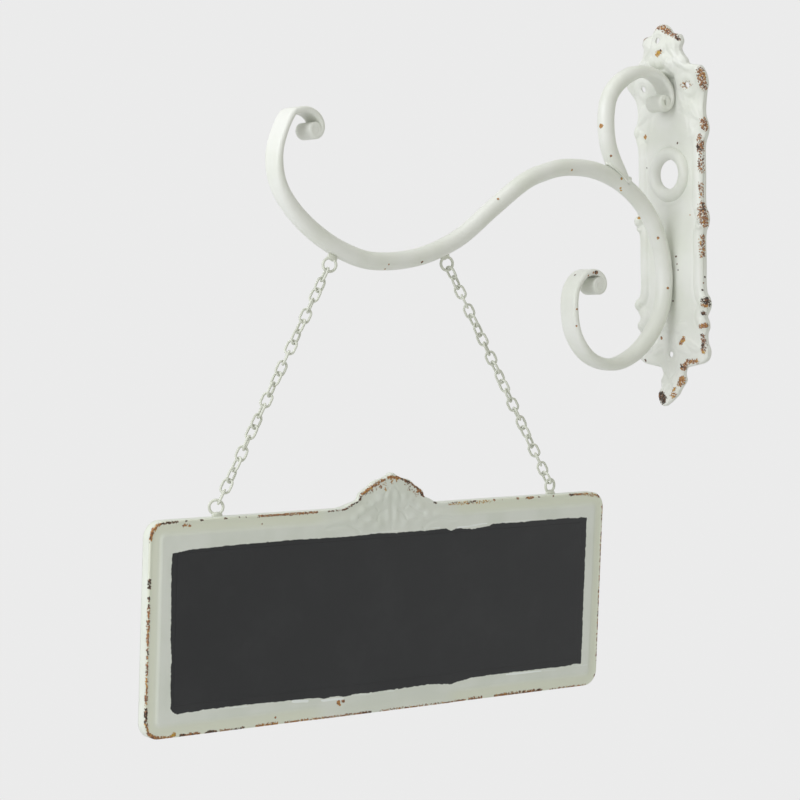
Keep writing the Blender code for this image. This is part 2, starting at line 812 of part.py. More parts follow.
class ArmSeat:
    """Where an eye is welded under the arm: the arm's middle, direction and half thickness there."""

    def __init__(self, arm, share, throat):
        length = arm.length * share
        x, z = arm.at(length)
        along_x, along_z = arm.along(length)
        self.middle = Vector((x, 0, z))
        self.way = Vector((along_x, 0, along_z))
        self.half = arm_half_thickness(arm)(length)
        self.down = Vector((along_z, 0, -along_x))
        if self.down.z > 0:
            self.down.negate()
        self.hub = self.middle + self.down * (self.half + throat + eye_radius + eye_wire / 2)
        self.weld_place = self.middle + self.down * (self.half + throat)


def board_hubs_below(arm_hubs):
    """Middles of the board's eyes: the board hangs level, a little further out than the arm's eyes."""
    middle = (arm_hubs["left"] + arm_hubs["right"]) / 2
    board_end = board_width / 2
    return {
        "left": middle + Vector((-board_offset - board_end + left_eye_inset, 0, -board_drop)),
        "right": middle + Vector((-board_offset + board_end - right_eye_inset, 0, -board_drop)),
    }


def seats_on(hubs, turn_of, pull_of):
    """Where the chains bear on the eyes. Each eye is shifted so that its chain pulls in the plane Y = 0."""
    seats = {}
    for side in ("left", "right"):
        offset = bearing_way(turn_of[side], pull_of[side]) * eye_radius
        hubs[side].y = -offset.y
        seats[side] = hubs[side] + offset
    return seats


def make_arm_eyes(collection, cutters, material, arm_seats, turn_of):
    for side, seat in arm_seats.items():
        name = f"{side}_arm_eye"
        weld_place = Vector((seat.weld_place.x, seat.hub.y, seat.weld_place.z))
        eye = make_eye(name, collection, cutters, material, seat.hub, turn_of[side], weld_place, -seat.down)
        radius = seat.half + clearance
        cutter = round_cutter(name + "_seat_cutter", cutters, seat.middle, seat.way, radius)
        boolean(eye, cutter, "DIFFERENCE")


def make_chains(arm_seats, board_seats):
    left = Chain("left_chain_link", arm_seats["left"], board_seats["left"],
                 left_link_count, left_first_turn, left_link_turn)
    right = Chain("right_chain_link", arm_seats["right"], board_seats["right"],
                  right_link_count, right_first_turn, right_link_turn, open_eye_slack)
    return left, right


def main():
    clear_scene()
    collection = new_collection("wall_chalkboard")
    cutters = new_collection("cutters")
    materials = {
        "paint": new_material("ivory_paint", paint_colour, 0.35),
        "frame": new_material("frame_paint", frame_colour, 0.35),
        "chalk": new_material("chalk_black", chalk_colour, 0.6),
    }
    paint = materials["paint"]
    make_back_plate(collection, paint)
    arm = arm_route()
    make_main_arm(collection, paint, arm)
    make_brace(collection, cutters, paint, arm)

    arm_seats = {
        "left": ArmSeat(arm, left_arm_eye_share, left_arm_weld_throat),
        "right": ArmSeat(arm, right_arm_eye_share, right_arm_weld_throat),
    }
    arm_hubs = {side: seat.hub for side, seat in arm_seats.items()}
    board_hubs = board_hubs_below(arm_hubs)
    pull_of = {side: (board_hubs[side] - arm_hubs[side]).normalized() for side in arm_hubs}
    lift_of = {side: -pull for side, pull in pull_of.items()}
    arm_turns = {"left": left_arm_eye_turn, "right": right_arm_eye_turn}
    board_turns = {"left": left_board_eye_turn, "right": right_board_eye_turn}
    upper = seats_on(arm_hubs, arm_turns, pull_of)
    lower = seats_on(board_hubs, board_turns, lift_of)
    make_arm_eyes(collection, cutters, paint, arm_seats, arm_turns)

    left, right = make_chains(upper, lower)
    left_links = left.make(collection, paint)
    right_links = right.make(collection, paint)

    joints = Joints(collection)
    joints.add("swing_axis", upper["left"])
    joints.add("left_sway_axis", left.contact_below(1), "swing_axis")
    joints.add("right_sway_axis", upper["right"], "swing_axis")
    joints.add("left_foot_axis", left.contact_below(left_link_count - 1), "left_sway_axis")
    joints.carry("swing_axis", left_links[:1])
    joints.carry("left_sway_axis", left_links[1:-1])
    joints.carry("left_foot_axis", left_links[-1:])
    joints.carry("right_sway_axis", right_links)
    make_hanging_board(collection, cutters, joints, materials, lower, board_hubs)


main()
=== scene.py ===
# The looks of a wall chalkboard: a scrolled bracket of painted tube on a pressed back plate, with a small
# framed chalkboard hung from it on two chains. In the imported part's frame: the wall is the plane X = 0, the
# bracket reaches towards -X and the board faces -Y. The stage is in metres; the pieces' sizes are given in
# millimetres and scaled where their meshes are made.
import math

import bpy
import numpy as np
from mathutils import Matrix, Vector


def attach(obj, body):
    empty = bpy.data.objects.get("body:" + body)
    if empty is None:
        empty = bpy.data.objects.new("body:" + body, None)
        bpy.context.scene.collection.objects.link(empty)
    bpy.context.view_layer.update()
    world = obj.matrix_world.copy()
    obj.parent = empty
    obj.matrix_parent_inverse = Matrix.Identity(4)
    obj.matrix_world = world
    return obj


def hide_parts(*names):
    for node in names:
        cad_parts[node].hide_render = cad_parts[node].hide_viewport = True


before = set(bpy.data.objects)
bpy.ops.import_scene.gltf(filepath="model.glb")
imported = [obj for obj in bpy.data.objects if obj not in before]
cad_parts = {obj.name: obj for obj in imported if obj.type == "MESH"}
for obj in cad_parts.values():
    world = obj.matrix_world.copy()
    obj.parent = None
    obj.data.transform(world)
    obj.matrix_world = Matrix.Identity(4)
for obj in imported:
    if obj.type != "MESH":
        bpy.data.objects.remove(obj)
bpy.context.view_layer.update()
print("frame loaded,", len(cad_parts), "nodes")

mm = 0.001
turns = math.tau
white = (1, 1, 1, 1)
wayY = np.array([0.0, 1.0, 0.0])


def circle(count):
    # Angles evenly round a whole turn.
    return np.linspace(0, turns, count, endpoint=False)


def addObject(name, data):
    # A new object, linked into the scene.
    made = bpy.data.objects.new(name, data)
    bpy.context.scene.collection.objects.link(made)
    return made


def mirrored(line):
    # A line that starts and ends on the middle, closed by its mirror image in the first coordinate.
    return np.vstack([line, (line * (-1, 1))[-2:0:-1]])


def tint(red, green, blue):
    # A display colour, 0 to 255, as the linear colour that the shaders take.
    shares = np.array([red, green, blue]) / 255
    linear = np.where(shares > 0.04045, ((shares + 0.055) / 1.055) ** 2.4, shares / 12.92)
    return (*linear.tolist(), 1.0)


# Stage and view

view = {
    "place": (-1.5274, -1.5331, 0.0643),
    "azimuth": -39.295,
    "elevation": 1.5258,
    "roll": -0.9,
    "focalShare": 2825.63 / 800,      # focal length over the frame's width
    "sensor": 36.0,
    "nearest": 0.05, "farthest": 100,
}


def makeCamera(view):
    # Back points from the scene to the lens; right and up are turned about it by the roll.
    turn, lift, roll = (math.radians(view[key]) for key in ("azimuth", "elevation", "roll"))
    back = Vector((math.sin(turn) * math.cos(lift), -math.cos(turn) * math.cos(lift), math.sin(lift)))
    right = Vector((math.cos(turn), math.sin(turn), 0))
    up = back.cross(right)
    rolledRight = right * math.cos(roll) + up * math.sin(roll)
    rolledUp = up * math.cos(roll) - right * math.sin(roll)
    lens = bpy.data.cameras.new("camera")
    lens.sensor_width = view["sensor"]
    lens.lens = view["focalShare"] * view["sensor"]
    lens.clip_start = view["nearest"]
    lens.clip_end = view["farthest"]
    camera = addObject("camera", lens)
    axes = Matrix((rolledRight, rolledUp, back)).transposed().to_4x4()
    camera.matrix_world = Matrix.Translation(view["place"]) @ axes
    bpy.context.scene.camera = camera


makeCamera(view)
bpy.context.scene.view_settings.view_transform = "Standard"


class Value:
    # A socket of a finish. Arithmetic with it adds Math nodes.

    def __init__(self, finish, socket):
        self.finish = finish
        self.socket = socket

    def __add__(self, other):
        return self.finish.math("ADD", self, other)

    def __sub__(self, other):
        return self.finish.math("SUBTRACT", self, other)

    def __rsub__(self, other):
        return self.finish.math("SUBTRACT", other, self)

    def __mul__(self, other):
        return self.finish.math("MULTIPLY", self, other)

    __radd__ = __add__
    __rmul__ = __mul__


class Finish:
    # The nodes of one material, or of the world.

    def __init__(self, name, owner=None):
        self.material = owner or bpy.data.materials.new(name)
        self.material.use_nodes = True
        self.tree = self.material.node_tree
        self.shader = self.tree.nodes.get("Principled BSDF") or self.tree.nodes.get("Background")

    def fill(self, node, values):
        # Links or sets a node's inputs.
        for key, value in values.items():
            if isinstance(value, Value):
                self.tree.links.new(value.socket, node.inputs[key])
            else:
                node.inputs[key].default_value = value

    def node(self, kind, settings, sockets, output=0):
        # A node of one kind, with its settings, then its inputs. A ramp's stops rise from first to last.
        made = self.tree.nodes.new("ShaderNode" + kind)
        for key, value in settings.items():
            if key == "stops":
                elements = made.color_ramp.elements
                for place, colour in value[1:-1]:
                    elements.new(place)
                for element, (place, colour) in zip(elements, value):
                    element.position = place
                    element.color = colour
            else:
                setattr(made, key, value)
        self.fill(made, sockets)
        return Value(self, made.outputs[output])

    def math(self, operation, first, second):
        # The result of one sum.
        return self.node("Math", {"operation": operation}, {0: first, 1: second})

    def larger(self, first, second):
        # The greater of two values.
        return self.math("MAXIMUM", first, second)

    def distance(self, place, spot):
        # The straight way from each point to a spot.
        return self.node("VectorMath", {"operation": "DISTANCE"}, {0: place, 1: spot}, "Value")

    def mix(self, share, first, second):
        # Colours, from the first to the second.
        return self.node("Mix", {"data_type": "RGBA"}, {0: share, 6: first, 7: second}, 2)

    def noise(self, place, scale, detail=2.0, roughness=0.5):
        # Runs from 0 to 1 with its middle at 0.5.
        return self.node("TexNoise", {}, {"Vector": place, "Scale": scale, "Detail": detail,
                                          "Roughness": roughness})

    def sway(self, place, reach, **noise):
        # A noise that runs evenly to both sides of 0.
        return (self.noise(place, **noise) - 0.5) * reach

    def between(self, value, low, high, kind="SMOOTHSTEP"):
        # 0 below low, 1 above high and smooth between them.
        return self.node("MapRange", {"interpolation_type": kind},
                         {"Value": value, "From Min": low, "From Max": high})

    def field(self, name):
        # A value that the mesh carries at its points.
        return self.node("Attribute", {"attribute_name": name}, {}, "Fac")

    def place(self):
        # The shaded point in the piece's own metres.
        return self.node("TexCoord", {}, {}, "Object")

    def rays(self):
        # 1 for the camera's own rays, for mirrored and for passing ones, and 0 for others.
        kinds = ("Camera", "Glossy", "Transmission")
        return [self.node("LightPath", {}, {}, f"Is {kind} Ray") for kind in kinds]

    def bump(self, height):
        # The shading of a surface raised by a height in metres.
        return self.node("Bump", {}, {"Strength": 1.0, "Distance": 1.0, "Height": height})


stageLook = {
    "backdrop": 0.832,                # linear grey of the pale background
    "ambient": 0.40,                  # what the background gives as light
    "ambientColour": (1.0, 1.0, 0.95, 1),
    "floorMiddle": (-0.25, 0, -0.52),
    "floorRadius": 2.6, "floorSides": 96,
    "floorColour": (0.83, 0.83, 0.83, 1), "floorRoughness": 0.9,
    "shadowShare": 0.30,              # how much of the floor's own light and shade the camera sees
    "shadowSpan": (0.35, 1.1),        # from the middle: where that starts to fade and where it has gone
}


def makeWorld(look):
    # The camera and shiny surfaces see the plain backdrop; other rays see a dimmer one.
    world = bpy.data.worlds.new("world")
    bpy.context.scene.world = world
    finish = Finish("world", world)
    camera, glossy, through = finish.rays()
    shown = finish.larger(finish.larger(camera, glossy), through)
    finish.fill(finish.shader, {
        "Color": finish.mix(shown, look["ambientColour"], white),
        "Strength": shown * (look["backdrop"] - look["ambient"]) + look["ambient"]})


def makeFloor(look):
    # A pale disc that melts into the background away from the object's shadow.
    angles = circle(look["floorSides"])
    rim = look["floorRadius"] * np.stack([np.cos(angles), np.sin(angles), 0 * angles], 1)
    rim += look["floorMiddle"]
    mesh = bpy.data.meshes.new("floor")
    mesh.from_pydata(rim.tolist(), [], [list(range(len(rim)))])
    floor = addObject("floor", mesh)
    finish = Finish("floor_pale")
    finish.fill(finish.shader, {"Base Color": look["floorColour"], "Roughness": look["floorRoughness"]})
    camera, glossy, through = finish.rays()
    away = finish.distance(finish.place(), look["floorMiddle"])
    lit = (1 - finish.between(away, *look["shadowSpan"])) * look["shadowShare"]
    plain = finish.larger(finish.larger(glossy, through), camera * (1 - lit))
    glow = finish.node("Emission", {}, {"Color": white, "Strength": look["backdrop"]})
    shown = finish.node("MixShader", {}, {0: plain, 1: Value(finish, finish.shader.outputs[0]), 2: glow})
    finish.fill(finish.tree.nodes["Material Output"], {"Surface": shown})
    mesh.materials.append(finish.material)


lampAim = Vector((-0.27, 0, 0.05))    # near the object's middle
lampLooks = {
    "left_window": {"place": (-2.1, -0.1, 0.75), "size": 1.5, "power": 25.5, "colour": (0.98, 0.985, 1.06)},
    "overhead": {"place": (-0.5, 0.1, 1.9), "size": 1.2, "power": 9.0, "colour": (1.0, 1.0, 0.99)},
    "front_fill": {"place": (0.3, -2.2, 0.1), "size": 1.8, "power": 7.0, "colour": (1.0, 0.995, 0.94)},
}


def makeLamp(name, look):
    # A square lamp that faces the object.
    lamp = bpy.data.lights.new(name, "AREA")
    lamp.shape = "SQUARE"
    lamp.size = look["size"]
    lamp.energy = look["power"]
    lamp.color = look["colour"]
    made = addObject(name, lamp)
    made.location = look["place"]
    made.rotation_euler = (lampAim - made.location).to_track_quat("-Z", "Y").to_euler()


makeWorld(stageLook)
makeFloor(stageLook)
for lampName, lampLook in lampLooks.items():
    makeLamp(lampName, lampLook)
print("stage and lights made")


# Surfaces. Their chip field says how deep rust goes, below 0 where there is none, and tone how dark it is.

noRust = -3.0
plainTone = 0.5


def gridSurface(points, closedRows=False, closedColumns=False, capped=False, keep=None, **fields):
    # Faces between neighbours of a rows by columns grid of points. keep marks the faces that stay,
    # and caps close the first and last row with a fan round their middle.
    rows, columns = points.shape[:2]
    number = np.arange(rows * columns).reshape(rows, columns)
    if closedRows:
        number = np.vstack([number, number[:1]])
    if closedColumns:
        number = np.hstack([number, number[:, :1]])
    corners = [number[:-1, :-1], number[:-1, 1:], number[1:, 1:], number[1:, :-1]]
    quads = np.stack(corners, -1).reshape(-1, 4)
    if keep is not None:
        quads = quads[keep.ravel()]
    flat = points.reshape(-1, 3)
    values = {name: np.broadcast_to(value, points.shape[:2]).ravel() for name, value in fields.items()}
    triangles = np.zeros((0, 3), int)
    if capped:
        ends = np.stack([points[0].mean(0), points[-1].mean(0)])
        first, last = number[0], number[-1]
        low = np.stack([np.full(len(first) - 1, len(flat)), first[1:], first[:-1]], 1)
        high = np.stack([np.full(len(last) - 1, len(flat) + 1), last[:-1], last[1:]], 1)
        triangles = np.vstack([low, high])
        flat = np.vstack([flat, ends])
        values = {name: np.append(value, [value[number[0, 0]], value[number[-1, 0]]])
                  for name, value in values.items()}
    return {"points": flat, "quads": quads, "triangles": triangles, "fields": values}


def flipped(surface):
    # Turns every face over.
    return {**surface, "quads": surface["quads"][:, ::-1], "triangles": surface["triangles"][:, ::-1]}


def closedSkin(points, ring=False, chip=noRust, tone=plainTone):
    # A closed skin given in millimetres, as a ring of sections or as sections with capped ends. Its faces are
    # turned outwards, by the sign of the space that they hold.
    surface = gridSurface(points * mm, closedRows=ring, closedColumns=True, capped=not ring,
                          chip=chip, tone=tone)
    quads = surface["quads"]
    fans = np.vstack([quads[:, :3], quads[:, [0, 2, 3]], surface["triangles"]])
    centred = surface["points"] - surface["points"].mean(0)
    a, b, c = (centred[fans[:, k]] for k in range(3))
    return flipped(surface) if np.einsum("ij,ij->", a, np.cross(b, c)) < 0 else surface


def makePiece(name, surfaces, finish, body, nodes, sheet=None, back=None):
    # One mesh of all the surfaces, which rides on its body and stands for its CAD nodes. A sheet gets its
    # thickness in millimetres here, and its hidden side the back finish.
    counts = np.cumsum([0] + [len(s["points"]) for s in surfaces])
    points = np.vstack([s["points"] for s in surfaces])
    quads = np.vstack([s["quads"] + start for s, start in zip(surfaces, counts)])
    triangles = np.vstack([s["triangles"] + start for s, start in zip(surfaces, counts)])
    mesh = bpy.data.meshes.new(name)
    mesh.from_pydata(points.tolist(), [], quads.tolist() + triangles.tolist())
    mesh.validate()
    mesh.shade_smooth()
    for field in sorted({key for s in surfaces for key in s["fields"]}):
        empty = [np.zeros(len(s["points"])) for s in surfaces]
        values = np.concatenate([s["fields"].get(field, e) for s, e in zip(surfaces, empty)])
        mesh.attributes.new(field, "FLOAT", "POINT").data.foreach_set("value", values.astype(np.float32))
    mesh.materials.append(finish)
    piece = addObject(name, mesh)
    if sheet:
        solidify = piece.modifiers.new("sheet", "SOLIDIFY")
        solidify.thickness = sheet * mm
        solidify.offset = -1
        solidify.use_even_offset = False
        if back:
            mesh.materials.append(back)
            solidify.material_offset = 1
    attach(piece, body)
    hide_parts(*nodes)
    print(name, "made,", len(quads) * 2 + len(triangles), "triangles")


def runAlong(points, power=1.0):
    # At each point the sum so far of the steps from point to point, each raised to the power.
    steps = np.linalg.norm(np.diff(points, axis=0), axis=1) ** power
    return np.concatenate([[0], np.cumsum(steps)])


def smoothThrough(points, steps, closed=False):
    # A centripetal Catmull-Rom curve through the points, as many steps in each span.
    points = np.asarray(points, float)
    if closed:
        padded = np.vstack([points[-1:], points, points[:2]])
    else:
        padded = np.vstack([2 * points[0] - points[1], points, 2 * points[-1] - points[-2]])
    knots = runAlong(padded, power=0.5)
    spans = len(padded) - 3
    a, b, c, d = (knots[k:k + spans, None, None] for k in range(4))
    p, q, r, s = (padded[k:k + spans, None, :] for k in range(4))
    t = b + (c - b) * np.linspace(0, 1, steps, endpoint=False)[None, :, None]
    left = (b - t) / (b - a) * p + (t - a) / (b - a) * q
    middle = (c - t) / (c - b) * q + (t - b) / (c - b) * r
    right = (d - t) / (d - c) * r + (t - c) / (d - c) * s
    near = (c - t) / (c - a) * left + (t - a) / (c - a) * middle
    far = (d - t) / (d - b) * middle + (t - b) / (d - b) * right
    curve = ((c - t) / (c - b) * near + (t - b) / (c - b) * far).reshape(-1, points.shape[1])
    return curve if closed else np.vstack([curve, padded[-2]])


def ease(value, low, high):
    # 0 below low, 1 above high, and three squares less two cubes of the share between them.
    share = np.clip((value - low) / (high - low), 0, 1)
    return share * share * (3 - 2 * share)


def awayFrom(x, z, start, end):
    # The square of the shortest way from each point to the straight line from start to end.
    wayX, wayZ = end[0] - start[0], end[1] - start[1]
    share = ((x - start[0]) * wayX + (z - start[1]) * wayZ) / (wayX ** 2 + wayZ ** 2 + 1e-9)
    share = np.clip(share, 0, 1)
    return (x - start[0] - share * wayX) ** 2 + (z - start[1] - share * wayZ) ** 2


def distanceTo(line, x, z):
    # The shortest way from each point to a closed line.
    least = np.full(x.shape, np.inf)
    for start, end in zip(line, np.roll(line, -1, 0)):
        least = np.minimum(least, awayFrom(x, z, start, end))
    return np.sqrt(least)


moundPower = 0.6                      # the lower, the fuller a mound's shoulders


def mound(share):
    # A soft round top: a power of 1 less the share's square, and nothing where the share is past 1.
    return np.maximum(1 - share * share, 0) ** moundPower


def moundAt(x, z, midX, midZ, halfX, halfZ):
    # A mound round its middle, out to its half sizes.
    return mound(np.hypot((x - midX) / halfX, (z - midZ) / halfZ))


def ripple(x, z, rateX, shiftX, rateZ, shiftZ):
    # A faint wave, the product of a sine in each direction.
    return np.sin(x * rateX + shiftX) * np.sin(z * rateZ + shiftZ)


# Rust. A mark runs from one point of a piece's own flat plane to another, in millimetres, with a radius,
# a tone from 0, yellow, to 1, dark, and a fullness from 1, bare, to 0, a few specks.

fadedRust = -0.8                      # what is left of a mark's fullness at its radius


def markField(across, up, out, marks):
    # A mark's fullness falls with the square of the way to it over its radius; the greatest counts.
    depth = np.full(np.broadcast(across, up, out).shape, noRust)
    tone = np.full(depth.shape, plainTone)
    for startX, startZ, endX, endZ, radius, shade, full in marks:
        away = awayFrom(across, up, (startX, startZ), (endX, endZ)) + out ** 2
        here = full - away / radius ** 2 * (full - fadedRust)
        tone = np.where(here > depth, shade, tone)
        depth = np.maximum(depth, here)
    return {"chip": depth, "tone": tone}


paintLook = {
    "colour": tint(229, 231, 223), "dimColour": tint(223, 226, 215), "roughness": 0.42,
    "uneven": {"scale": 28, "detail": 3.0}, "unevenSpan": (0.38, 0.66), "unevenRoughness": 0.06,
    "peelScale": 420, "peelDepth": 0.00006,
    "ragged": {"scale": 760, "detail": 4.0, "roughness": 0.62}, "chipRagged": 5.6,
    "bareSpan": (0.02, 0.10), "bareDepth": 0.00022, "bareGrain": 0.0002, "bareRoughness": 0.88,
    "stainSpan": (-0.30, 0.05), "stainShare": 0.16, "stainColour": tint(214, 176, 128),
    "blotches": {"reach": 2.6, "scale": 608, "detail": 3.0, "roughness": 0.7},
    "spotFirm": 3.2,
}
# The same ivory paint, darker: painted shade for the thin wire of the eyes and chains.
shadedWireLook = {**paintLook, "colour": tint(213, 216, 202), "dimColour": tint(204, 207, 192)}
# The same paint, a little darker: painted shade for the board, whose face gets less light than the plate.
shadedFrameLook = {**paintLook, "colour": tint(223, 227, 218), "dimColour": tint(216, 221, 210),
             # Next: a yellower copy that paints shade on the border's outer band, and a whiter one for
             # streaks and painted highlights along the chalk edge.
             "paintedShadeColour": tint(222, 226, 208), "paleColour": tint(243, 248, 246)}
rustStops = [(0.0, tint(196, 158, 62)), (0.3, tint(180, 131, 86)), (0.55, tint(143, 102, 77)),
             (0.8, tint(98, 77, 64)), (1.0, tint(62, 56, 49))]
chalkLook = {
    "colour": tint(45, 46, 47), "roughness": 0.62, "gloss": 0.25,
    "lighterBlackColour": tint(60, 61, 62), "dust": {"scale": 18, "detail": 5.0, "roughness": 0.65},
    "dustSpan": (0.40, 0.80), "dustShare": 0.35, "lighterRightSpan": (-0.50, -0.06), "lighterRightShare": 0.55,
    "grainScale": 1400, "grainDepth": 0.00006, "grainRoughness": 0.1,
    "specks": ((-292.1, -7.0, -83.2, 1.1, 1.0), (-237.4, -7.0, -82.9, 0.9, 1.0)),
    "speckGrain": 2, "speckSpan": (0.0, 0.5), "speckShare": 0.6, "speckColour": tint(178, 180, 184),
    # The brushed edge, and the paler marks along it: partly dry-brushed streaks, partly painted highlights on
    # the frame's lip.
    "coarseTeeth": {"reach": 1.5, "scale": 240}, "fineTeeth": {"reach": 1.1, "scale": 900},
    "edgeSpan": (-0.14, 0.14), "streakAndHighlightStretch": (40, 40, 900),
    "streaksAndHighlights": {"reach": 2.6, "scale": 1.0, "detail": 3.0}, "streakAndHighlightSpan": (0.0, 0.5), "streakAndHighlightShare": 0.75,
}


def spotField(finish, place, spots, depth, tone, firm=1.0):
    # Small chips, each a ball in millimetres: where one is deeper than what lies there, its tone takes over.
    # The firmer they are, the less the ragged noise eats into their round edges.
    for x, y, z, radius, shade in spots:
        away = finish.distance(place, (x * mm, y * mm, z * mm))
        here = (1 - away * (1 / (radius * mm))) * firm
        deeper = finish.math("GREATER_THAN", here, depth)
        tone = tone + deeper * (shade - tone)
        depth = finish.larger(here, depth)
    return depth, tone


def chalkColour(finish, place, look):
    # Matt black with chalk dust in clouds, and a little lighter towards the right.
    dust = finish.between(finish.noise(place, **look["dust"]), *look["dustSpan"]) * look["dustShare"]
    right = finish.node("SeparateXYZ", {}, {0: place}, "X")
    lighterRight = finish.between(right, *look["lighterRightSpan"], "LINEAR") * look["lighterRightShare"]
    return finish.mix(dust + lighterRight, look["colour"], look["lighterBlackColour"])


def paintFinish(name, look, spots=(), chalk=None):
    # Brushed and baked paint, chipped to rust where the piece's chip field runs high.
    # Where the piece has a chalk field, the blackboard paint covers it.
    finish = Finish(name)
    place = finish.place()
    uneven = finish.between(finish.noise(place, **look["uneven"]), *look["unevenSpan"])
    colour = finish.mix(uneven, look["colour"], look["dimColour"])
    if "paintedShadeColour" in look:
        # Painted shade: the colour turns yellower where the piece's shade-tint field runs high.
        colour = finish.mix(finish.field("warm"), colour, look["paintedShadeColour"])
    ragged = finish.noise(place, **look["ragged"])
    deep, tone = spotField(finish, place, spots, finish.field("chip"), finish.field("tone"), look["spotFirm"])
    chip = deep + (ragged - 0.5) * look["chipRagged"]
    bare = finish.between(chip, *look["bareSpan"])
    stain = finish.between(chip, *look["stainSpan"]) * look["stainShare"]
    rust = finish.node("ValToRGB", {"stops": rustStops}, {0: tone + finish.sway(place, **look["blotches"])})
    painted = finish.mix(bare, finish.mix(stain, colour, look["stainColour"]), rust)
    roughness = (bare * (look["bareRoughness"] - look["roughness"]) + look["roughness"]
                 + (uneven - 0.5) * look["unevenRoughness"])
    peel = finish.noise(place, look["peelScale"])
    height = peel * look["peelDepth"] - bare * look["bareDepth"] + (ragged * bare) * look["bareGrain"]
    if chalk:
        teeth = finish.sway(place, **chalk["coarseTeeth"]) + finish.sway(place, **chalk["fineTeeth"])
        cover = finish.between(finish.field("chalk") + teeth, *chalk["edgeSpan"])
        painted = finish.mix(cover, painted, chalkColour(finish, place, chalk))
        # Whiter streaks and painted highlights along the chalk edge.
        drawn = finish.node("VectorMath", {"operation": "MULTIPLY"}, {0: place, 1: chalk["streakAndHighlightStretch"]})
        pale = finish.field("pale") + finish.sway(drawn, **chalk["streaksAndHighlights"])
        shown = finish.between(pale, *chalk["streakAndHighlightSpan"]) * chalk["streakAndHighlightShare"]
        painted = finish.mix(shown, painted, look["paleColour"])
        roughness = cover * (chalk["roughness"] - look["roughness"]) + roughness
        finish.fill(finish.shader, {"Specular IOR Level": chalk["gloss"]})
    finish.fill(finish.shader, {"Base Color": painted, "Roughness": roughness, "Normal": finish.bump(height)})
    return finish.material


def chalkFinish(name, look):
    # The black sheet: fine grain, chalk dust and a few chalk specks.
    finish = Finish(name)
    place = finish.place()
    grain = finish.noise(place, look["grainScale"])
    specks = spotField(finish, place, look["specks"], -1.0, 0.0)[0] + (grain - 0.5) * look["speckGrain"]
    shown = finish.between(specks, *look["speckSpan"]) * look["speckShare"]
    finish.fill(finish.shader, {
        "Base Color": finish.mix(shown, chalkColour(finish, place, look), look["speckColour"]),
        "Roughness": (grain - 0.5) * look["grainRoughness"] + look["roughness"],
        "Specular IOR Level": look["gloss"], "Normal": finish.bump(grain * look["grainDepth"])})
    return finish.material


shadedWirePaint = paintFinish("ivory_paint_wire_shaded", shadedWireLook)
chalkPaint = chalkFinish("chalk_black_matt", chalkLook)
print("finishes made")


# Scrolled tubes

tube = {
    "radius": 6.35, "flatHalf": 2.35, "rollCore": 3.3, "sides": 44, "stepLength": 1.7, "stepTurn": 5.0,
    "endRings": ((0.06, 0.25), (0.2, 0.4)),        # a rounded end: shares drawn in and ways out
    # A rolled end's middle: its faces are flat up to a share of the radius, with a seam wound into them.
    "heartInset": 0.25, "heartFlat": (0.04, 0.86), "heartFlatRings": 18, "heartRimRings": 6,
    "heartRimFrom": 0.1, "heartRimDrop": 0.9, "heartSides": 56, "hollowDepth": 3.5,
    "seamPitch": 2.6, "seamDepth": 0.22, "seamFrom": (0.8, 1.6), "seamPower": 6, "hollowPower": 0.4,
}
wallGap = 5.0 + 0.3                   # the plate's depth and the gap in front of it

armShape = {
    "reach": 367.0, "rise": 180.5, "foot": 32.1,
    # The curls' centres and the stem's points are shares of the reach and the rise. Angles are in degrees.
    "outer": {"centre": (0.9210, 0.919), "radius": 20.5, "start": 147, "sweep": 380, "closing": 0.72},
    "lower": {"centre": (0.2037, 0.3247), "radius": 22.0, "start": 188, "sweep": 405, "closing": 0.66},
    "outerRuns": (60.0, 150.0), "lowerRuns": (60.0, 200.0),
    "shares": (
        (1.0, 0.843), (0.9955, 0.723), (0.96, 0.616), (0.8865, 0.503), (0.8, 0.434), (0.743, 0.424),
        (0.684, 0.434), (0.629, 0.459), (0.5545, 0.521), (0.468, 0.639), (0.378, 0.753), (0.328, 0.788),
        (0.288, 0.806), (0.243, 0.81), (0.198, 0.802), (0.143, 0.77), (0.088, 0.709), (0.043, 0.62),
        (0.013, 0.502), (0.0, 0.362), (0.0105, 0.226), (0.043, 0.121), (0.0955, 0.036), (0.158, 0.0),
        (0.22, 0.036), (0.259, 0.131), (0.268, 0.245),
    ),
    # Chips: middle, radius and tone.
    "spots": (
        (-61.2, -6.3, 170.7, 1.1, 0.2), (-60.0, -3.8, 163.7, 0.9, 0.05), (-58.4, -2.4, 162.0, 1.0, 0.05),
        (-22.5, -4.7, 126.7, 1.1, 0.25), (-13.9, -6.0, 88.9, 1.1, 0.25), (-111.0, -5.9, 175.9, 0.9, 0.3),
        (-182.4, -4.4, 153.6, 0.9, 0.3), (-255.1, -5.3, 108.1, 1.1, 0.6), (-285.6, -5.9, 106.3, 0.8, 0.4),
        (-287.2, -3.3, 103.2, 0.8, 0.4), (-110.4, -8.6, 73.8, 0.8, 0.5), (-110.4, -7.7, 61.3, 0.8, 0.5),
        (-90.3, -8.6, 100.7, 1.7, 0.75), (-93.3, -8.6, 100.6, 0.9, 0.5), (-102.9, 1.2, 99.0, 0.9, 0.8),
        (-98.3, -8.5, 98.4, 0.7, 0.6),
    ),
    # The rolled ends' hearts: radius, shift across and up from the curl's centre, and the hollow left open.
    "outerHeart": {"radius": 5.3, "shift": (0.0, 0.0), "hollow": None},
    "lowerHeart": {"radius": 6.3, "shift": (0.2, 0.3), "hollow": None},
}
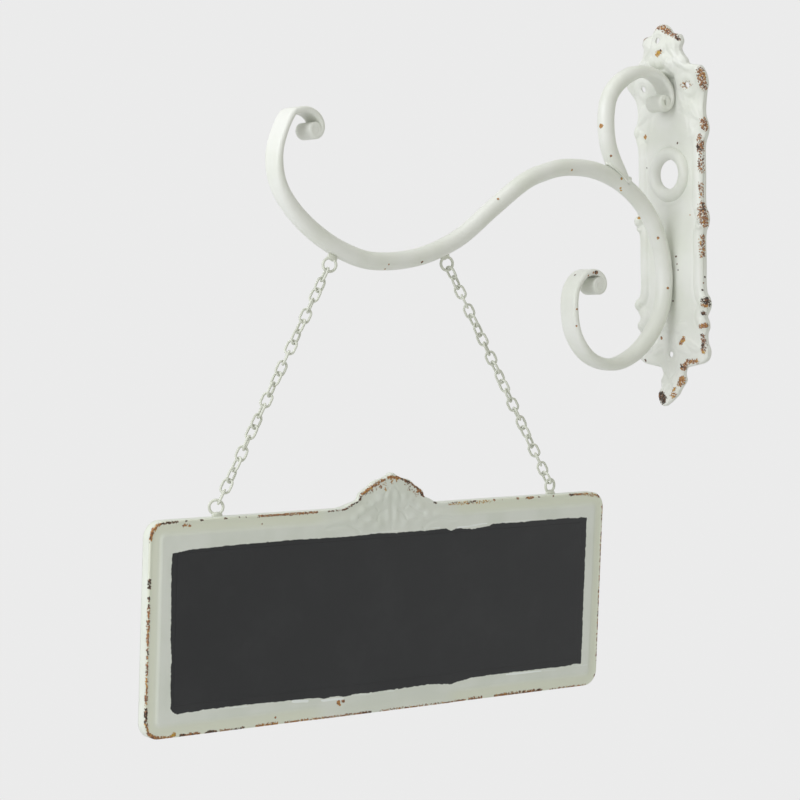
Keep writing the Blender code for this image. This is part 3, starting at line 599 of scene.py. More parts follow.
braceShape = {
    "footShare": 0.594, "height": 85.6, "bulge": 16.6, "curlHeight": 62.8,
    "curl": {"radius": 26.0, "start": 119, "sweep": 385, "closing": 0.80},
    "footRuns": (-2.0, -1.0), "runs": (25.0, 95.0),        # its foot isn't flattened
    # The stem's points from the foot up, as shares of the bulge and the height.
    "shares": (
        (0.0, 0.0), (0.33, 0.12), (0.63, 0.22), (0.9, 0.35), (1.0, 0.48), (0.99, 0.61), (0.84, 0.74),
        (0.58, 0.82), (0.2, 0.89), (-0.3, 0.95), (-0.86, 0.99),
    ),
    "weldRadius": 1.5, "weldOut": 0.2, "weldAim": 4.0, "weldSteps": 72, "weldSides": 16,
    "weldLumps": ((0.16, 9, 0.0), (0.10, 14, 1.3)),        # height, count round the tube and shift
    "heart": {"radius": 5.4, "shift": (0.0, 0.0), "hollow": (1.1, 2.2)},
    "spots": ((-76.7, -1.2, 209.6, 1.8, 0.3), (-70.1, -4.6, 187.3, 0.9, 0.4)),
}


def curlPoints(centre, curl, samples=32):
    # A curl that runs clockwise: its reach falls away exponentially towards the roll's core.
    swept = np.linspace(0, math.radians(curl["sweep"]), samples)
    reach = tube["rollCore"] + (curl["radius"] - tube["rollCore"]) * np.exp(-curl["closing"] * swept)
    angle = math.radians(curl["start"]) - swept
    return np.asarray(centre) + np.stack([reach * np.cos(angle), reach * np.sin(angle)], 1)


class Route:
    # A flat route in the plane Y = 0, in millimetres, that can be read at any length along it. Its stations
    # lie closer together where it bends.

    def __init__(self, points):
        self.points = smoothThrough(points, steps=12)
        self.lengths = runAlong(self.points)
        self.length = self.lengths[-1]
        ways = np.diff(self.points, axis=0)
        angles = np.unwrap(np.arctan2(ways[:, 1], ways[:, 0]))
        bends = np.concatenate([[0], np.cumsum(np.abs(np.diff(angles))), [0]])
        bends[-1] = bends[-2]
        spent = self.lengths / tube["stepLength"] + bends / math.radians(tube["stepTurn"])
        self.stations = np.interp(np.linspace(0, spent[-1], math.ceil(spent[-1]) + 1), spent, self.lengths)

    def at(self, length):
        # The place at a length.
        return np.stack([np.interp(length, self.lengths, self.points[:, k]) for k in (0, 1)], -1)

    def along(self, length, step=2.0):
        # The unit way from a step before a length to a step after it.
        way = self.at(np.minimum(length + step, self.length)) - self.at(np.maximum(length - step, 0))
        return way / np.linalg.norm(way, axis=-1, keepdims=True)


def tubeSection(girth, half, radius):
    # Points round a flattened tube whose girth stays the round tube's: two flats joined by half rounds.
    # The quarter from the edge is an arc of the half thickness and then a straight.
    quarter = radius * turns / 4
    straight = turns / 4 * (radius - half)
    share = girth * 4
    corner = np.floor(share)
    within = np.where(corner % 2 == 0, share - corner, corner + 1 - share) * quarter
    arc = np.minimum(within / half, turns / 4)
    past = np.maximum(within - half * turns / 4, 0)
    across = straight + half * np.cos(arc) - past
    through = half * np.sin(arc)
    acrossSign = np.where((corner == 0) | (corner == 3), 1, -1)
    throughSign = np.where(corner < 2, 1, -1)
    return across * acrossSign, through * throughSign


def tubeSkin(route, startRuns, endRuns):
    # Sections set square to the route. Each end is flat up to the first of its runs and round from the
    # second, and its last rings draw in to a rounded edge.
    lengths = route.stations
    roundness = ease(lengths, *startRuns) * ease(route.length - lengths, *endRuns)
    half = (tube["flatHalf"] + (tube["radius"] - tube["flatHalf"]) * roundness)[:, None]
    girth = (np.arange(tube["sides"]) + 0.5)[None, :] / tube["sides"]
    across, through = tubeSection(girth + 0 * half, half + 0 * girth, tube["radius"])
    middle, way = route.at(lengths)[:, None, :], route.along(lengths)[:, None, :]
    x = middle[..., 0] - way[..., 1] * through
    z = middle[..., 1] + way[..., 0] * through
    points = np.stack([x, across, z], -1)
    ends = []
    for row, sign in ((0, -1), (-1, 1)):
        core = np.stack([middle[row, :, 0], 0 * middle[row, :, 0], middle[row, :, 1]], -1)
        out = np.array([way[row, 0, 0], 0, way[row, 0, 1]]) * sign
        ends.append([core + (points[row] - core) * (1 - inward) + out * reach
                     for inward, reach in tube["endRings"]])
    return closedSkin(np.concatenate([ends[0][::-1], points, ends[1]]))


def armPlace(shares):
    # Shares of the arm's reach and rise as a place in its plane.
    shares = np.asarray(shares)
    return np.stack([-(wallGap + tube["radius"]) - shares[..., 0] * armShape["reach"],
                     armShape["foot"] + shares[..., 1] * armShape["rise"]], -1)


def armRoute():
    # From the outer curl's core along the stem to the lower curl's.
    curls = [curlPoints(armPlace(armShape[key]["centre"]), armShape[key]) for key in ("outer", "lower")]
    return Route(np.vstack([curls[0][::-1], armPlace(armShape["shares"]), curls[1]]))


def braceRoute(arm):
    # The stem's route with its curl, and the curl's centre.
    foot = arm.at(arm.length * braceShape["footShare"])
    stem = foot + np.array(braceShape["shares"]) * (-braceShape["bulge"], braceShape["height"])
    curl = curlPoints((0, 0), braceShape["curl"])
    centre = np.array([-(wallGap + tube["flatHalf"]) - curl[:, 0].max(), foot[1] + braceShape["curlHeight"]])
    return Route(np.vstack([stem, curl + centre])), centre


def rollHeart(centre, heart):
    # The tightly wound middle of a rolled end: a disc as thick as the strip is wide, its rim rounded,
    # a spiral seam pressed in its faces and the strip's last bend left as a hollow.
    wide = turns / 4 * (tube["radius"] - tube["flatHalf"]) + tube["flatHalf"] - tube["heartInset"]
    flat = np.linspace(*tube["heartFlat"], tube["heartFlatRings"])
    bend = np.linspace(tube["heartRimFrom"], 1, tube["heartRimRings"]) * turns / 4
    reach = np.concatenate([flat, flat[-1] + (1 - flat[-1]) * np.sin(bend)])[:, None] * heart["radius"]
    drop = np.concatenate([0 * flat, tube["heartRimDrop"] * (1 - np.cos(bend))])[:, None]
    angle = circle(tube["heartSides"])
    x, z = reach * np.cos(angle), reach * np.sin(angle)
    seam = np.maximum(np.cos(turns * reach / tube["seamPitch"] + angle), 0) ** tube["seamPower"]
    drop = drop + tube["seamDepth"] * seam * ease(reach, *tube["seamFrom"])
    if heart["hollow"]:
        halfX, halfZ = heart["hollow"]
        inside = np.maximum(1 - (x / halfX) ** 2 - (z / halfZ) ** 2, 0)
        drop = drop + tube["hollowDepth"] * inside ** tube["hollowPower"]
    near, far = (np.stack([x, side * (wide - drop), z], -1) for side in (-1, 1))
    middle = np.asarray(centre) + heart["shift"]
    return closedSkin(np.concatenate([near, far[::-1]]) + (middle[0], 0, middle[1]))


def weldBead(arm, route):
    # A lumpy ring where the brace's skin meets the arm's: along each line of the brace's skin,
    # the length at which it lies one radius from the arm's middle line.
    foot = arm.at(arm.length * braceShape["footShare"])
    armWay = arm.along(arm.length * braceShape["footShare"])
    up = route.along(np.array(braceShape["weldAim"]))
    foot, armWay, up = (np.array([v[0], 0, v[1]]) for v in (foot, armWay, up))
    angle = circle(braceShape["weldSteps"])[:, None]
    out = np.cross(up, wayY) * np.cos(angle) + wayY * np.sin(angle)
    start = out * tube["radius"]
    flat = start - (start @ armWay)[:, None] * armWay
    climb = up - (up @ armWay) * armWay
    a, b = climb @ climb, flat @ climb
    c = (flat ** 2).sum(1) - (tube["radius"] + braceShape["weldOut"]) ** 2
    rise = (-b + np.sqrt(np.maximum(b * b - a * c, 0))) / a
    line = foot + start + rise[:, None] * up
    lumps = 1 + sum(high * np.sin(angle * count + shift) for high, count, shift in braceShape["weldLumps"])
    around = circle(braceShape["weldSides"])[None, :, None]
    radius = (braceShape["weldRadius"] * lumps)[:, None, :]
    points = line[:, None, :] + radius * (out[:, None, :] * np.cos(around) + up * np.sin(around))
    return closedSkin(points, ring=True)


arm = armRoute()
brace, braceCurl = braceRoute(arm)
armSkins = [tubeSkin(arm, armShape["outerRuns"], armShape["lowerRuns"])]
for key in ("outer", "lower"):
    armSkins.append(rollHeart(armPlace(armShape[key]["centre"]), armShape[key + "Heart"]))
makePiece("scrollArm", armSkins, paintFinish("ivory_paint_arm", paintLook, armShape["spots"]),
          "bracket", ["main_scroll_arm"])
braceSkins = [tubeSkin(brace, braceShape["footRuns"], braceShape["runs"]), weldBead(arm, brace),
              rollHeart(braceCurl, braceShape["heart"])]
makePiece("scrollBrace", braceSkins, paintFinish("ivory_paint_brace", paintLook, braceShape["spots"]),
          "bracket", ["upper_scroll_brace"])


# Wire: eyes and chains

wire = {
    "leftLinks": 22, "rightLinks": 23,
    "linkRadius": 0.86, "linkHalfWidth": 3.2, "linkSteps": 44, "sides": 12,
    "linkStretch": 0.60,          # with the eyes' radius it keeps thick wire from touching at the hooks
    "jointAt": 0.43, "jointHalf": 0.022, "jointRise": 0.10,        # where the wire's ends meet
    "unevenRise": 0.02, "unevenWaves": 40,
    "hookChip": -0.85, "chipFall": 0.12, "tone": 0.45,             # worn most at the hooks
    "eyeRadius": 4.70, "eyeWireRadius": 0.99, "eyeSteps": 64, "eyeSides": 16, "eyeChip": -1.2, "eyeTone": 0.4,
    "weldHalf": (4.2, 2.2, 2.4), "weldRows": 14, "weldColumns": 28, "weldPoles": (0.02, 0.98),
    "weldLumps": ((0.05, 3, 2, 0), (0.04, 5, -3, 1)),        # height, counts round and down, and shift
}
eyes = {
    "left_arm_eye": {"hub": (-334.0617, -0.7763, 106.1666), "turn": -20, "tip": 0,
                     "weld": (-331.8066, -0.7763, 111.1556), "lean": 24.3237, "body": "bracket"},
    "right_arm_eye": {"hub": (-227.5003, 0.4783, 107.0980), "turn": -12, "tip": 0,
                      "weld": (-229.4351, 0.4783, 112.2198), "lean": -20.6942, "body": "bracket"},
    "left_board_eye": {"hub": (-431.5810, 1.3291, -55.2751), "turn": -28, "tip": 4.5222,
                       "weld": (-431.5810, 0.7481, -60.8132), "lean": 0, "body": "board"},
    "right_board_eye": {"hub": (-131.5810, 0.5591, -55.3360), "turn": 6, "tip": 4.5222,
                        "weld": (-131.5810, 0.7481, -60.8132), "lean": 0, "body": "board"},
}


def wireRing(line, normal, radius, sides):
    # A closed wire round a flat line: sections spanned by the outward way and the line's normal.
    ahead = np.roll(line, -1, 0) - np.roll(line, 1, 0)
    ahead /= np.linalg.norm(ahead, axis=1, keepdims=True)
    out = np.cross(ahead, normal)
    angle = circle(sides)[None, :, None]
    radius = np.broadcast_to(radius, len(line))[:, None, None]
    return line[:, None, :] + radius * (out[:, None, :] * np.cos(angle) + normal * np.sin(angle))


def linkLine(length, halfWidth, steps):
    # Two half rounds joined by straight sides, sampled evenly by its length. Flat in X and Z.
    straight = length - 2 * halfWidth
    lap = turns * halfWidth + 2 * straight
    run = np.linspace(0, lap, steps, endpoint=False)
    arcLap = turns / 2 * halfWidth
    second = run >= lap / 2
    run = np.where(second, run - lap / 2, run)
    angle = np.minimum(run, arcLap) / halfWidth
    past = np.maximum(run - arcLap, 0)
    x = halfWidth * np.cos(angle)
    z = straight / 2 + halfWidth * np.sin(angle) - past
    sign = np.where(second, -1, 1)
    return np.stack([x * sign, 0 * x, z * sign], 1)


def nodePlace(name):
    # A link's middle, its axes across, through and along, and its length, all from its own points.
    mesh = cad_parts[name].data
    points = np.zeros(len(mesh.vertices) * 3)
    mesh.vertices.foreach_get("co", points)
    points = np.unique((points.reshape(-1, 3) / mm).round(decimals=4), axis=0)
    centred = points - points.mean(0)
    ways = np.linalg.svd(centred, full_matrices=False)[2]
    spread = centred @ ways.T
    middle = points.mean(0) + ((spread.max(0) + spread.min(0)) / 2) @ ways
    length = spread[:, 0].max() - spread[:, 0].min()
    return middle, ways[1], ways[2], ways[0], length


def linkSurface(name, number):
    # A link in its CAD node's place, a little thicker where the wire's ends meet.
    middle, across, through, along, length = nodePlace(name)
    line = linkLine(length - 2 * wire["linkRadius"] + wire["linkStretch"], wire["linkHalfWidth"],
                    wire["linkSteps"])
    share = np.arange(wire["linkSteps"]) / wire["linkSteps"]
    joint = wire["jointRise"] * np.exp(-((share - wire["jointAt"]) / wire["jointHalf"]) ** 2)
    uneven = wire["unevenRise"] * np.sin(share * wire["unevenWaves"] + number)
    flat = wireRing(line, wayY, wire["linkRadius"] * (1 + joint + uneven), wire["sides"])
    points = middle + flat[..., :1] * across + flat[..., 1:2] * through + flat[..., 2:] * along
    fromHook = np.abs(flat[..., 2]).max() - np.abs(flat[..., 2])
    chip = wire["hookChip"] - fromHook * wire["chipFall"]
    return closedSkin(points, ring=True, chip=chip, tone=wire["tone"])


def makeChain(name, body, nodes):
    # The links that move together, as one piece.
    makePiece(name, [linkSurface(node, k) for k, node in enumerate(nodes)], shadedWirePaint, body, nodes)


leftNodes = [f"left_chain_link_{k:02d}" for k in range(1, wire["leftLinks"] + 1)]
rightNodes = [f"right_chain_link_{k:02d}" for k in range(1, wire["rightLinks"] + 1)]
makeChain("leftTopLink", "left_top_link", leftNodes[:1])
makeChain("leftChain", "left_chain", leftNodes[1:-1])
makeChain("leftBottomLink", "left_bottom_link", leftNodes[-1:])
makeChain("rightChain", "right_chain", rightNodes)


def turned(points, tip, lean, turn):
    # Turns points about Z, then Y, then X, in degrees.
    a, b, c = (math.radians(v) for v in (tip, lean, turn))
    aboutX = np.array([[1, 0, 0], [0, math.cos(a), -math.sin(a)], [0, math.sin(a), math.cos(a)]])
    aboutY = np.array([[math.cos(b), 0, math.sin(b)], [0, 1, 0], [-math.sin(b), 0, math.cos(b)]])
    aboutZ = np.array([[math.cos(c), -math.sin(c), 0], [math.sin(c), math.cos(c), 0], [0, 0, 1]])
    return points @ (aboutX @ aboutY @ aboutZ).T


def weldBall():
    # A ball drawn out to half sizes, with low lumps that run with its two angles.
    down = np.linspace(*wire["weldPoles"], wire["weldRows"])[:, None] * turns / 2
    around = circle(wire["weldColumns"])[None, :]
    lumps = 1 + sum(high * np.sin(laps * around + falls * down + shift)
                    for high, laps, falls, shift in wire["weldLumps"])
    ways = [np.sin(down) * np.cos(around) * lumps, np.sin(down) * np.sin(around) * lumps,
            np.cos(down) + 0 * around]
    return np.stack(ways, -1) * wire["weldHalf"]


for name, eye in eyes.items():
    angles = circle(wire["eyeSteps"])
    circleLine = wire["eyeRadius"] * np.stack([np.cos(angles), 0 * angles, np.sin(angles)], 1)
    ring = wireRing(circleLine, wayY, wire["eyeWireRadius"], wire["eyeSides"])
    ring = turned(ring, eye["tip"], 0, eye["turn"]) + eye["hub"]
    weld = turned(weldBall(), eye["tip"], eye["lean"], 0) + eye["weld"]
    rust = {"chip": wire["eyeChip"], "tone": wire["eyeTone"]}
    first, *others = name.split("_")
    makePiece(first + "".join(word.title() for word in others) + "Ring",
              [closedSkin(ring, ring=True, **rust), closedSkin(weld, **rust)], shadedWirePaint, eye["body"], [name])
print("wire made")


# Pressed back plate

plate = {
    "height": 289.2, "drop": 0.6, "halfWidth": 41.5, "depth": 5.0, "sheet": 1.2, "tipHalf": 0.05,
    "relief": 1.35, "rowStep": 0.95, "leastFall": 0.16, "columns": 84,
    "crowding": 0.82,                             # how far the columns draw towards the edges
    "flankWidth": 4.6, "flankDrop": 2.4, "rimRings": 5,        # the edge's rounded shoulder, and the rim
    "beadRise": 1.5, "beadFoot": 57.0, "beadTop": 205.0, "beadFade": 7, "beadFrom": (18, 24),
    "grooveAt": 9.6, "grooveDepth": 0.55, "grooveHalf": 1.5, "ornamentFrom": 2.4, "rimFade": 1.5,
    "collarHeight": 175.3, "collarRadius": 19.9, "collarRise": 3.4, "collarHole": 12.1, "collarLap": 0.4,
    "collarReach": 29.0, "collarSteps": 96,       # the grid is drawn into circles out to this reach
    "seatRadius": 23.5, "seatRise": 0.35, "seatSpan": (-0.5, 0.8),      # the disc under the collar
    "finialFrom": 228.0, "finialTo": 262.0, "finialOut": 8.0,      # both ends bend away from the wall
    "tipFrom": 22.0, "tipTo": -4.0, "tipOut": 11.5,
    # The finial and the tip are rounded from side to side.
    "crownRise": 2.6, "crownSpan": (0.5, 14.0), "finialCrown": (250, 260), "tipCrown": (-30, -20),
    "waves": (0.21, 1, 0.05, 0.4), "waveRise": 0.12, "waveSpan": (2, 8),      # the sheet isn't quite flat
    "curlHalf": 12.0, "curlFade": 3, "curlFrom": (196, 204), "curlTo": (-252, -246),      # the brace's curl
    "screwRadius": 2.25, "screwReach": 7.0, "screwSeat": 5.2, "screwFlat": 0.75, "holeMargin": 1.1,
    "screws": ((0, 276.0), (23.5, 241.0), (-23.5, 241.0), (0, 38.5)),
    # The collar's section, as shares of the way in to its hole and of its rise.
    "collarProfile": ((0.00, -0.15), (0.05, 0.22), (0.16, 0.62), (0.34, 0.92), (0.52, 1.00), (0.72, 0.86),
                      (0.90, 0.48), (1.00, -0.10), (1.00, -0.45)),
    # The right half of the outline from the top down, as shares of the half width and the height.
    "outline": (
        (0.0, 1.0), (0.15, 0.991), (0.262, 0.974), (0.33, 0.974), (0.452, 0.967), (0.505, 0.951),
        (0.452, 0.932), (0.505, 0.918), (0.6, 0.903), (0.64, 0.891), (0.76, 0.89), (0.93, 0.883),
        (1.0, 0.862), (0.99, 0.838), (0.915, 0.818), (0.862, 0.795), (0.85, 0.757), (0.905, 0.735),
        (0.925, 0.72), (0.895, 0.703), (0.838, 0.684), (0.824, 0.6), (0.83, 0.517), (0.885, 0.502),
        (0.905, 0.486), (0.88, 0.47), (0.822, 0.454), (0.808, 0.38), (0.822, 0.296), (0.89, 0.282),
        (0.925, 0.264), (0.875, 0.245), (0.825, 0.233), (0.868, 0.22), (0.882, 0.205), (0.83, 0.186),
        (0.842, 0.164), (0.9, 0.145), (0.868, 0.124), (0.74, 0.112), (0.52, 0.107), (0.33, 0.102),
        (0.262, 0.084), (0.3, 0.065), (0.248, 0.047), (0.235, 0.03), (0.13, 0.011), (0.0, 0.0),
    ),
    # Leaves: root, tip, half width, rise and bend. Each has its twin on the other side.
    "leaves": (
        (0, 289, 0, 254, 7.6, 1.5, 0.0), (0, 254, 0, 228, 9.5, 1.0, 0.0), (3, 264, 14, 250, 4.8, 1.3, 0.25),
        (10, 281, 19, 260, 4.4, 1.3, -0.15), (15, 262, 29, 251, 4.2, 1.1, 0.3),
        (11, 238, 21, 217, 4.2, 0.9, 0.22), (22, 230, 35, 214, 4.6, 1.1, -0.22),
        (17, 224, 25, 202, 3.4, 0.7, -0.15), (0, 56, 0, 21, 8.0, 1.0, 0.0), (7, 24, 3, -1, 4.2, 1.5, -0.25),
        (5, 46, 21, 38, 4.6, 1.0, 0.28), (15, 50, 32, 42, 4.4, 1.1, -0.22), (4, 56, 17, 62, 3.6, 0.8, 0.2),
    ),
    # Domes: middle, half sizes and rise.
    "domes": (
        (23.5, 241, 9.0, 9.0, 1.2), (37.4, 246, 5.0, 12.0, 1.7), (36.5, 209.5, 4.8, 5.4, 1.5),
        (34.0, 141, 5.4, 4.4, 2.0), (33.8, 148, 5.0, 1.9, 1.3), (33.8, 134, 5.0, 1.9, 1.3),
        (35.6, 77, 5.2, 4.8, 1.9), (34.6, 60, 4.8, 4.2, 1.5), (35.4, 43, 4.6, 5.0, 1.6),
        (10.5, 20, 2.8, 3.4, 1.0),
    ),
    # Volutes: middle, radius, pitch, side that they wind to, and rise.
    "volutes": (
        (15.2, 280.5, 5.4, 3.0, 1, 1.5), (9.0, 8.5, 4.2, 2.6, -1, 1.0), (22.5, 205.0, 4.8, 2.9, 1, 0.8),
    ),
    # Creases: points along, depth and half width.
    "creases": (
        (((26.4, 190), (23.2, 200), (21.2, 209.4), (21.5, 215.4), (18.5, 219.4), (13.0, 222.4),
          (7.0, 223.6)), 0.55, 0.8),
        (((10.0, 262), (6.6, 256.8), (2.4, 254.4), (-1.0, 254.2)), 0.6, 0.9),
        (((14.6, 236), (17.0, 230.5), (21.5, 228.5), (27.5, 230.0)), 0.4, 0.9),
        (((29.5, 200), (26.2, 204.2), (27.0, 209.0), (30.6, 211.0)), 0.4, 0.8),
    ),
    "dishes": ((0, 9.5, 6.5, 9.0, 2.0), (0, 266, 5.0, 6.0, 0.5)),      # middle, half sizes and depth
    "marks": (
        (3.5, 285.6, -2.9, 286.7, 2.2, 0.5, 0.44), (-1.9, 286.3, -8.8, 281.6, 2.8, 0.5, 0.44),
        (-7, 283.4, -15, 279.3, 2.7, 0.55, 0.44), (-16.2, 278.8, -19.1, 275.6, 2.1, 0.8, 0.6),
        (18.1, 277.6, 14.7, 279.4, 1.4, 0.7, 0.4), (-40.2, 251.4, -38.8, 237.9, 3.4, 0.55, 0.36),
        (-41.4, 248.8, -40.9, 241.6, 2.2, 0.35, 0.4), (-36.2, 213.8, -38.4, 208.1, 3.4, 0.5, 0.48),
        (-32.9, 202.4, -33.2, 191.9, 3, 0.6, 0.44), (-33.2, 191.9, -33.5, 176.2, 2.7, 0.6, 0.15),
        (-31.2, 195, -32.7, 192.7, 1.7, 0.9, 0.7), (-33.3, 166.4, -33.6, 157.4, 2.2, 0.5, 0.12),
        (-34.5, 151.3, -37.4, 134.8, 3.8, 0.5, 0.37), (-34.5, 151.6, -35.1, 147.5, 2.5, 0.9, 0.52),
        (-34.1, 126.6, -33.7, 113.1, 3, 0.45, 0.36), (-37.4, 79.7, -38.4, 75.8, 3.6, 0.92, 0.44),
        (-36.4, 75.5, -37.9, 74.7, 2.2, 0.35, 0.69), (-34.1, 69.5, -34.7, 68.8, 2.1, 0.9, 0.69),
        (-31.4, 59, -36.5, 60.5, 2.5, 0.45, 0.6), (-32.3, 52.3, -34.2, 42.5, 2.5, 0.75, 0.44),
        (-33.7, 41.7, -34.7, 40.2, 2.2, 0.3, 0.6), (-26.4, 33.4, -16.9, 33.1, 2.5, 0.45, 0.56),
        (-16.9, 33.1, -11, 27.8, 2.8, 0.5, 0.56), (-9.9, 30.4, -11.5, 28.9, 1.7, 0.85, 0.6),
        (-10.7, 20.1, -10.3, 16.1, 3, 0.4, 0.69), (-7, 7.8, -7.6, 7.3, 2.8, 0.3, 0.64),
        (6.4, 7.7, 0.9, 4, 4.4, 0.95, 0.9), (-7.1, 12.6, -6.7, 10.8, 1.5, 0.4, 0.6),
        # The next four are full, dark marks on the bumps of the +Y edge.
        (40.5, 243.5, 40.2, 238.4, 1.7, 0.95, 1.0), (38.0, 209.4, 38.1, 206.6, 1.7, 0.95, 1.0),
        (38.0, 79.9, 37.9, 74.5, 1.7, 0.95, 1.0), (29, 34.6, 28.4, 33.4, 1.2, 0.9, 1.0),
        (-19.2, 241.5, -25.7, 241.7, 3.8, 0.45, 0.03), (-0.4, 265.6, -3.4, 267.2, 2.7, 0.04, 0.64),
        (-4.4, 268.6, -4, 268.2, 1.1, 0.9, 1.0), (-11.3, 47.5, -13, 50.1, 2.8, 0.3, 1.0),
        (25.4, 205.2, 24.9, 205.2, 2.1, 0.12, 1.0),
    ),
    "spots": (
        (-5.1, -9.3, 198.5, 0.9, 0.9), (-5.0, -6.1, 112.8, 0.9, 0.8), (-5.0, -7.1, 107.0, 0.6, 0.8),
        (-5.1, -8.1, 102.5, 0.6, 0.8), (-4.5, 24.5, 181.4, 0.6, 0.5), (-1.7, -33.3, 96.6, 0.8, 0.9),
        (-4.4, -33.1, 86.8, 0.8, 0.9), (-3.3, -33.1, 92.1, 0.6, 0.6), (-5.0, -21.6, 143.6, 0.6, 0.3),
        (-7.6, 30.9, 143.3, 1.3, 0.1), (-4.9, -2.2, 79.1, 0.8, 0.8), (-5.0, 10.7, 51.0, 1.2, 0.4),
    ),
}

# What the plate's and the crest's ornament have in common.
ornament = {
    "leastHalf": 0.3, "swellPower": 0.75, "risePower": 0.4, "endFall": 40, "ribDepth": 0.22, "ribHalf": 0.8,
    "ribFrom": (0.02, 0.2), "veinDepth": 0.05, "veinsAcross": 1.6, "veinsAlong": 1.1, "ridgeFall": 0.45,
}


def plateHalfOutline():
    # The right half of the outline from the top down, evenly spaced, always going down.
    steps = 16
    half = np.array(plate["outline"]) * (plate["halfWidth"], plate["height"]) - (0, plate["drop"])
    curve = smoothThrough(mirrored(half), steps, closed=True)[:(len(half) - 1) * steps + 1]
    curve[:, 0] = np.maximum(curve[:, 0], 0)
    run = runAlong(curve)
    even = np.linspace(0, run[-1], round(run[-1] / plate["rowStep"]))
    points = np.stack([np.interp(even, run, curve[:, k]) for k in (0, 1)], 1)
    shift = np.arange(len(points)) * plate["leastFall"]
    points[:, 1] = np.minimum.accumulate(points[:, 1] + shift) - shift       # never falls less than leastFall
    points[0, 0] = points[-1, 0] = plate["tipHalf"]
    return points


def leafRise(y, z, rootY, rootZ, tipY, tipZ, half, rise, bend):
    # Along the leaf its half width swells and closes as a sine; across it the top is a mound with
    # a pressed rib down its middle and fine veins beside it. Bend bows it sideways.
    way = np.array([tipY - rootY, tipZ - rootZ], float)
    size = np.hypot(*way)
    way /= size
    along = ((y - rootY) * way[0] + (z - rootZ) * way[1]) / size
    inside = np.clip(along, 0, 1)
    side = (z - rootZ) * way[0] - (y - rootY) * way[1] - bend * size * inside * (1 - inside)
    swell = np.sin(inside ** ornament["swellPower"] * turns / 2)
    pastEnd = np.maximum(np.abs(along - 0.5) - 0.5, 0) * ornament["endFall"]
    widest = half * swell ** ornament["swellPower"] + ornament["leastHalf"]
    share = np.hypot(side / widest, pastEnd)
    rib = ornament["ribDepth"] * np.exp(-(side / ornament["ribHalf"]) ** 2)
    rib = rib * ease(inside, *ornament["ribFrom"])
    veins = np.cos(np.abs(side) * ornament["veinsAcross"] + along * size * ornament["veinsAlong"])
    high = rise * mound(share) * swell ** ornament["risePower"]
    return high * (1 - rib + ornament["veinDepth"] * veins * (share < 1))


def voluteRise(y, z, midY, midZ, radius, pitch, side, rise):
    # A spiral ridge: its height follows the cosine of reach over pitch less the angle.
    dy, dz = (y - midY) * side, z - midZ
    reach = np.hypot(dy, dz)
    ridge = 0.5 + 0.5 * np.cos(turns * (reach / pitch) - np.arctan2(dz, dy))
    return rise * mound(reach / radius) * (1 - ornament["ridgeFall"] * (1 - ridge))


def creaseFall(y, z, creases):
    # A crease's depth fades as a bell of the distance to its line.
    fall = np.zeros_like(y)
    for line, depth, half in creases:
        line = smoothThrough(line, steps=5)
        for start, end in zip(line[:-1], line[1:]):
            fall = np.maximum(fall, depth * np.exp(-awayFrom(y, z, start, end) / half ** 2))
    return fall


def curlRoom(y, z):
    # 0 where the brace's curl lies close to the sheet, 1 elsewhere.
    across = ease(plate["curlHalf"] - np.abs(y), 0, plate["curlFade"])
    return 1 - across * ease(z, *plate["curlFrom"]) * ease(-z, *plate["curlTo"])


def plateRelief(y, z, edge):
    # The greatest of the ornaments stands on the shoulder, the long bead and its groove. Dishes and creases
    # are pressed back into it, it is flatter at the screws, and crown, seat and a faint wave are added.
    side = np.abs(y)
    shoulder = np.clip(1 - edge / plate["flankWidth"], 0, 1)
    rise = -plate["flankDrop"] * (1 - np.sqrt(1 - shoulder ** 2))
    runs = (ease(z, plate["beadFoot"], plate["beadFoot"] + plate["beadFade"])
            * ease(-z, -plate["beadTop"], -plate["beadTop"] + plate["beadFade"]))
    bead = plate["beadRise"] * mound((edge - plate["flankWidth"]) / plate["flankWidth"])
    groove = plate["grooveDepth"] * np.exp(-((edge - plate["grooveAt"]) / plate["grooveHalf"]) ** 2)
    rise = rise + (bead - groove) * runs * ease(side, *plate["beadFrom"])
    tall = np.zeros_like(rise)
    for leaf in plate["leaves"]:
        tall = np.maximum(tall, leafRise(side, z, *leaf))
    for *place, high in plate["domes"]:
        tall = np.maximum(tall, high * moundAt(side, z, *place))
    for volute in plate["volutes"]:
        tall = np.maximum(tall, voluteRise(side, z, *volute))
    for *place, deep in plate["dishes"]:
        tall = tall - deep * moundAt(side, z, *place)
    tall = tall - creaseFall(side, z, plate["creases"])
    for screw in plate["screws"]:
        tall *= 1 - plate["screwFlat"] * moundAt(y, z, *screw, plate["screwSeat"], plate["screwSeat"])
    toCollar = np.hypot(y, z - plate["collarHeight"])
    seat = plate["seatRise"] * ease(plate["seatRadius"] - toCollar, *plate["seatSpan"])
    ends = ease(z, *plate["finialCrown"]) + ease(-z, *plate["tipCrown"])
    crown = plate["crownRise"] * ease(edge, *plate["crownSpan"]) * ends
    wave = plate["waveRise"] * ripple(y, z, *plate["waves"]) * ease(edge, *plate["waveSpan"])
    tall = tall * ease(edge, 0.0, plate["ornamentFrom"]) * plate["relief"]
    return rise + crown + (tall + seat + wave) * curlRoom(y, z)


def openHole(y, z, centre, radius, reach):
    # Draws the grid's square shells round a hole into circles: wholly near it, less and less out to reach.
    dy, dz = y - centre[0], z - centre[1]
    shell, away = np.maximum(np.abs(dy), np.abs(dz)), np.hypot(dy, dz) + 1e-9
    pull = 1 + (1 - ease(shell, radius * plate["holeMargin"], reach)) * (shell / away - 1)
    return centre[0] + dy * pull, centre[1] + dz * pull


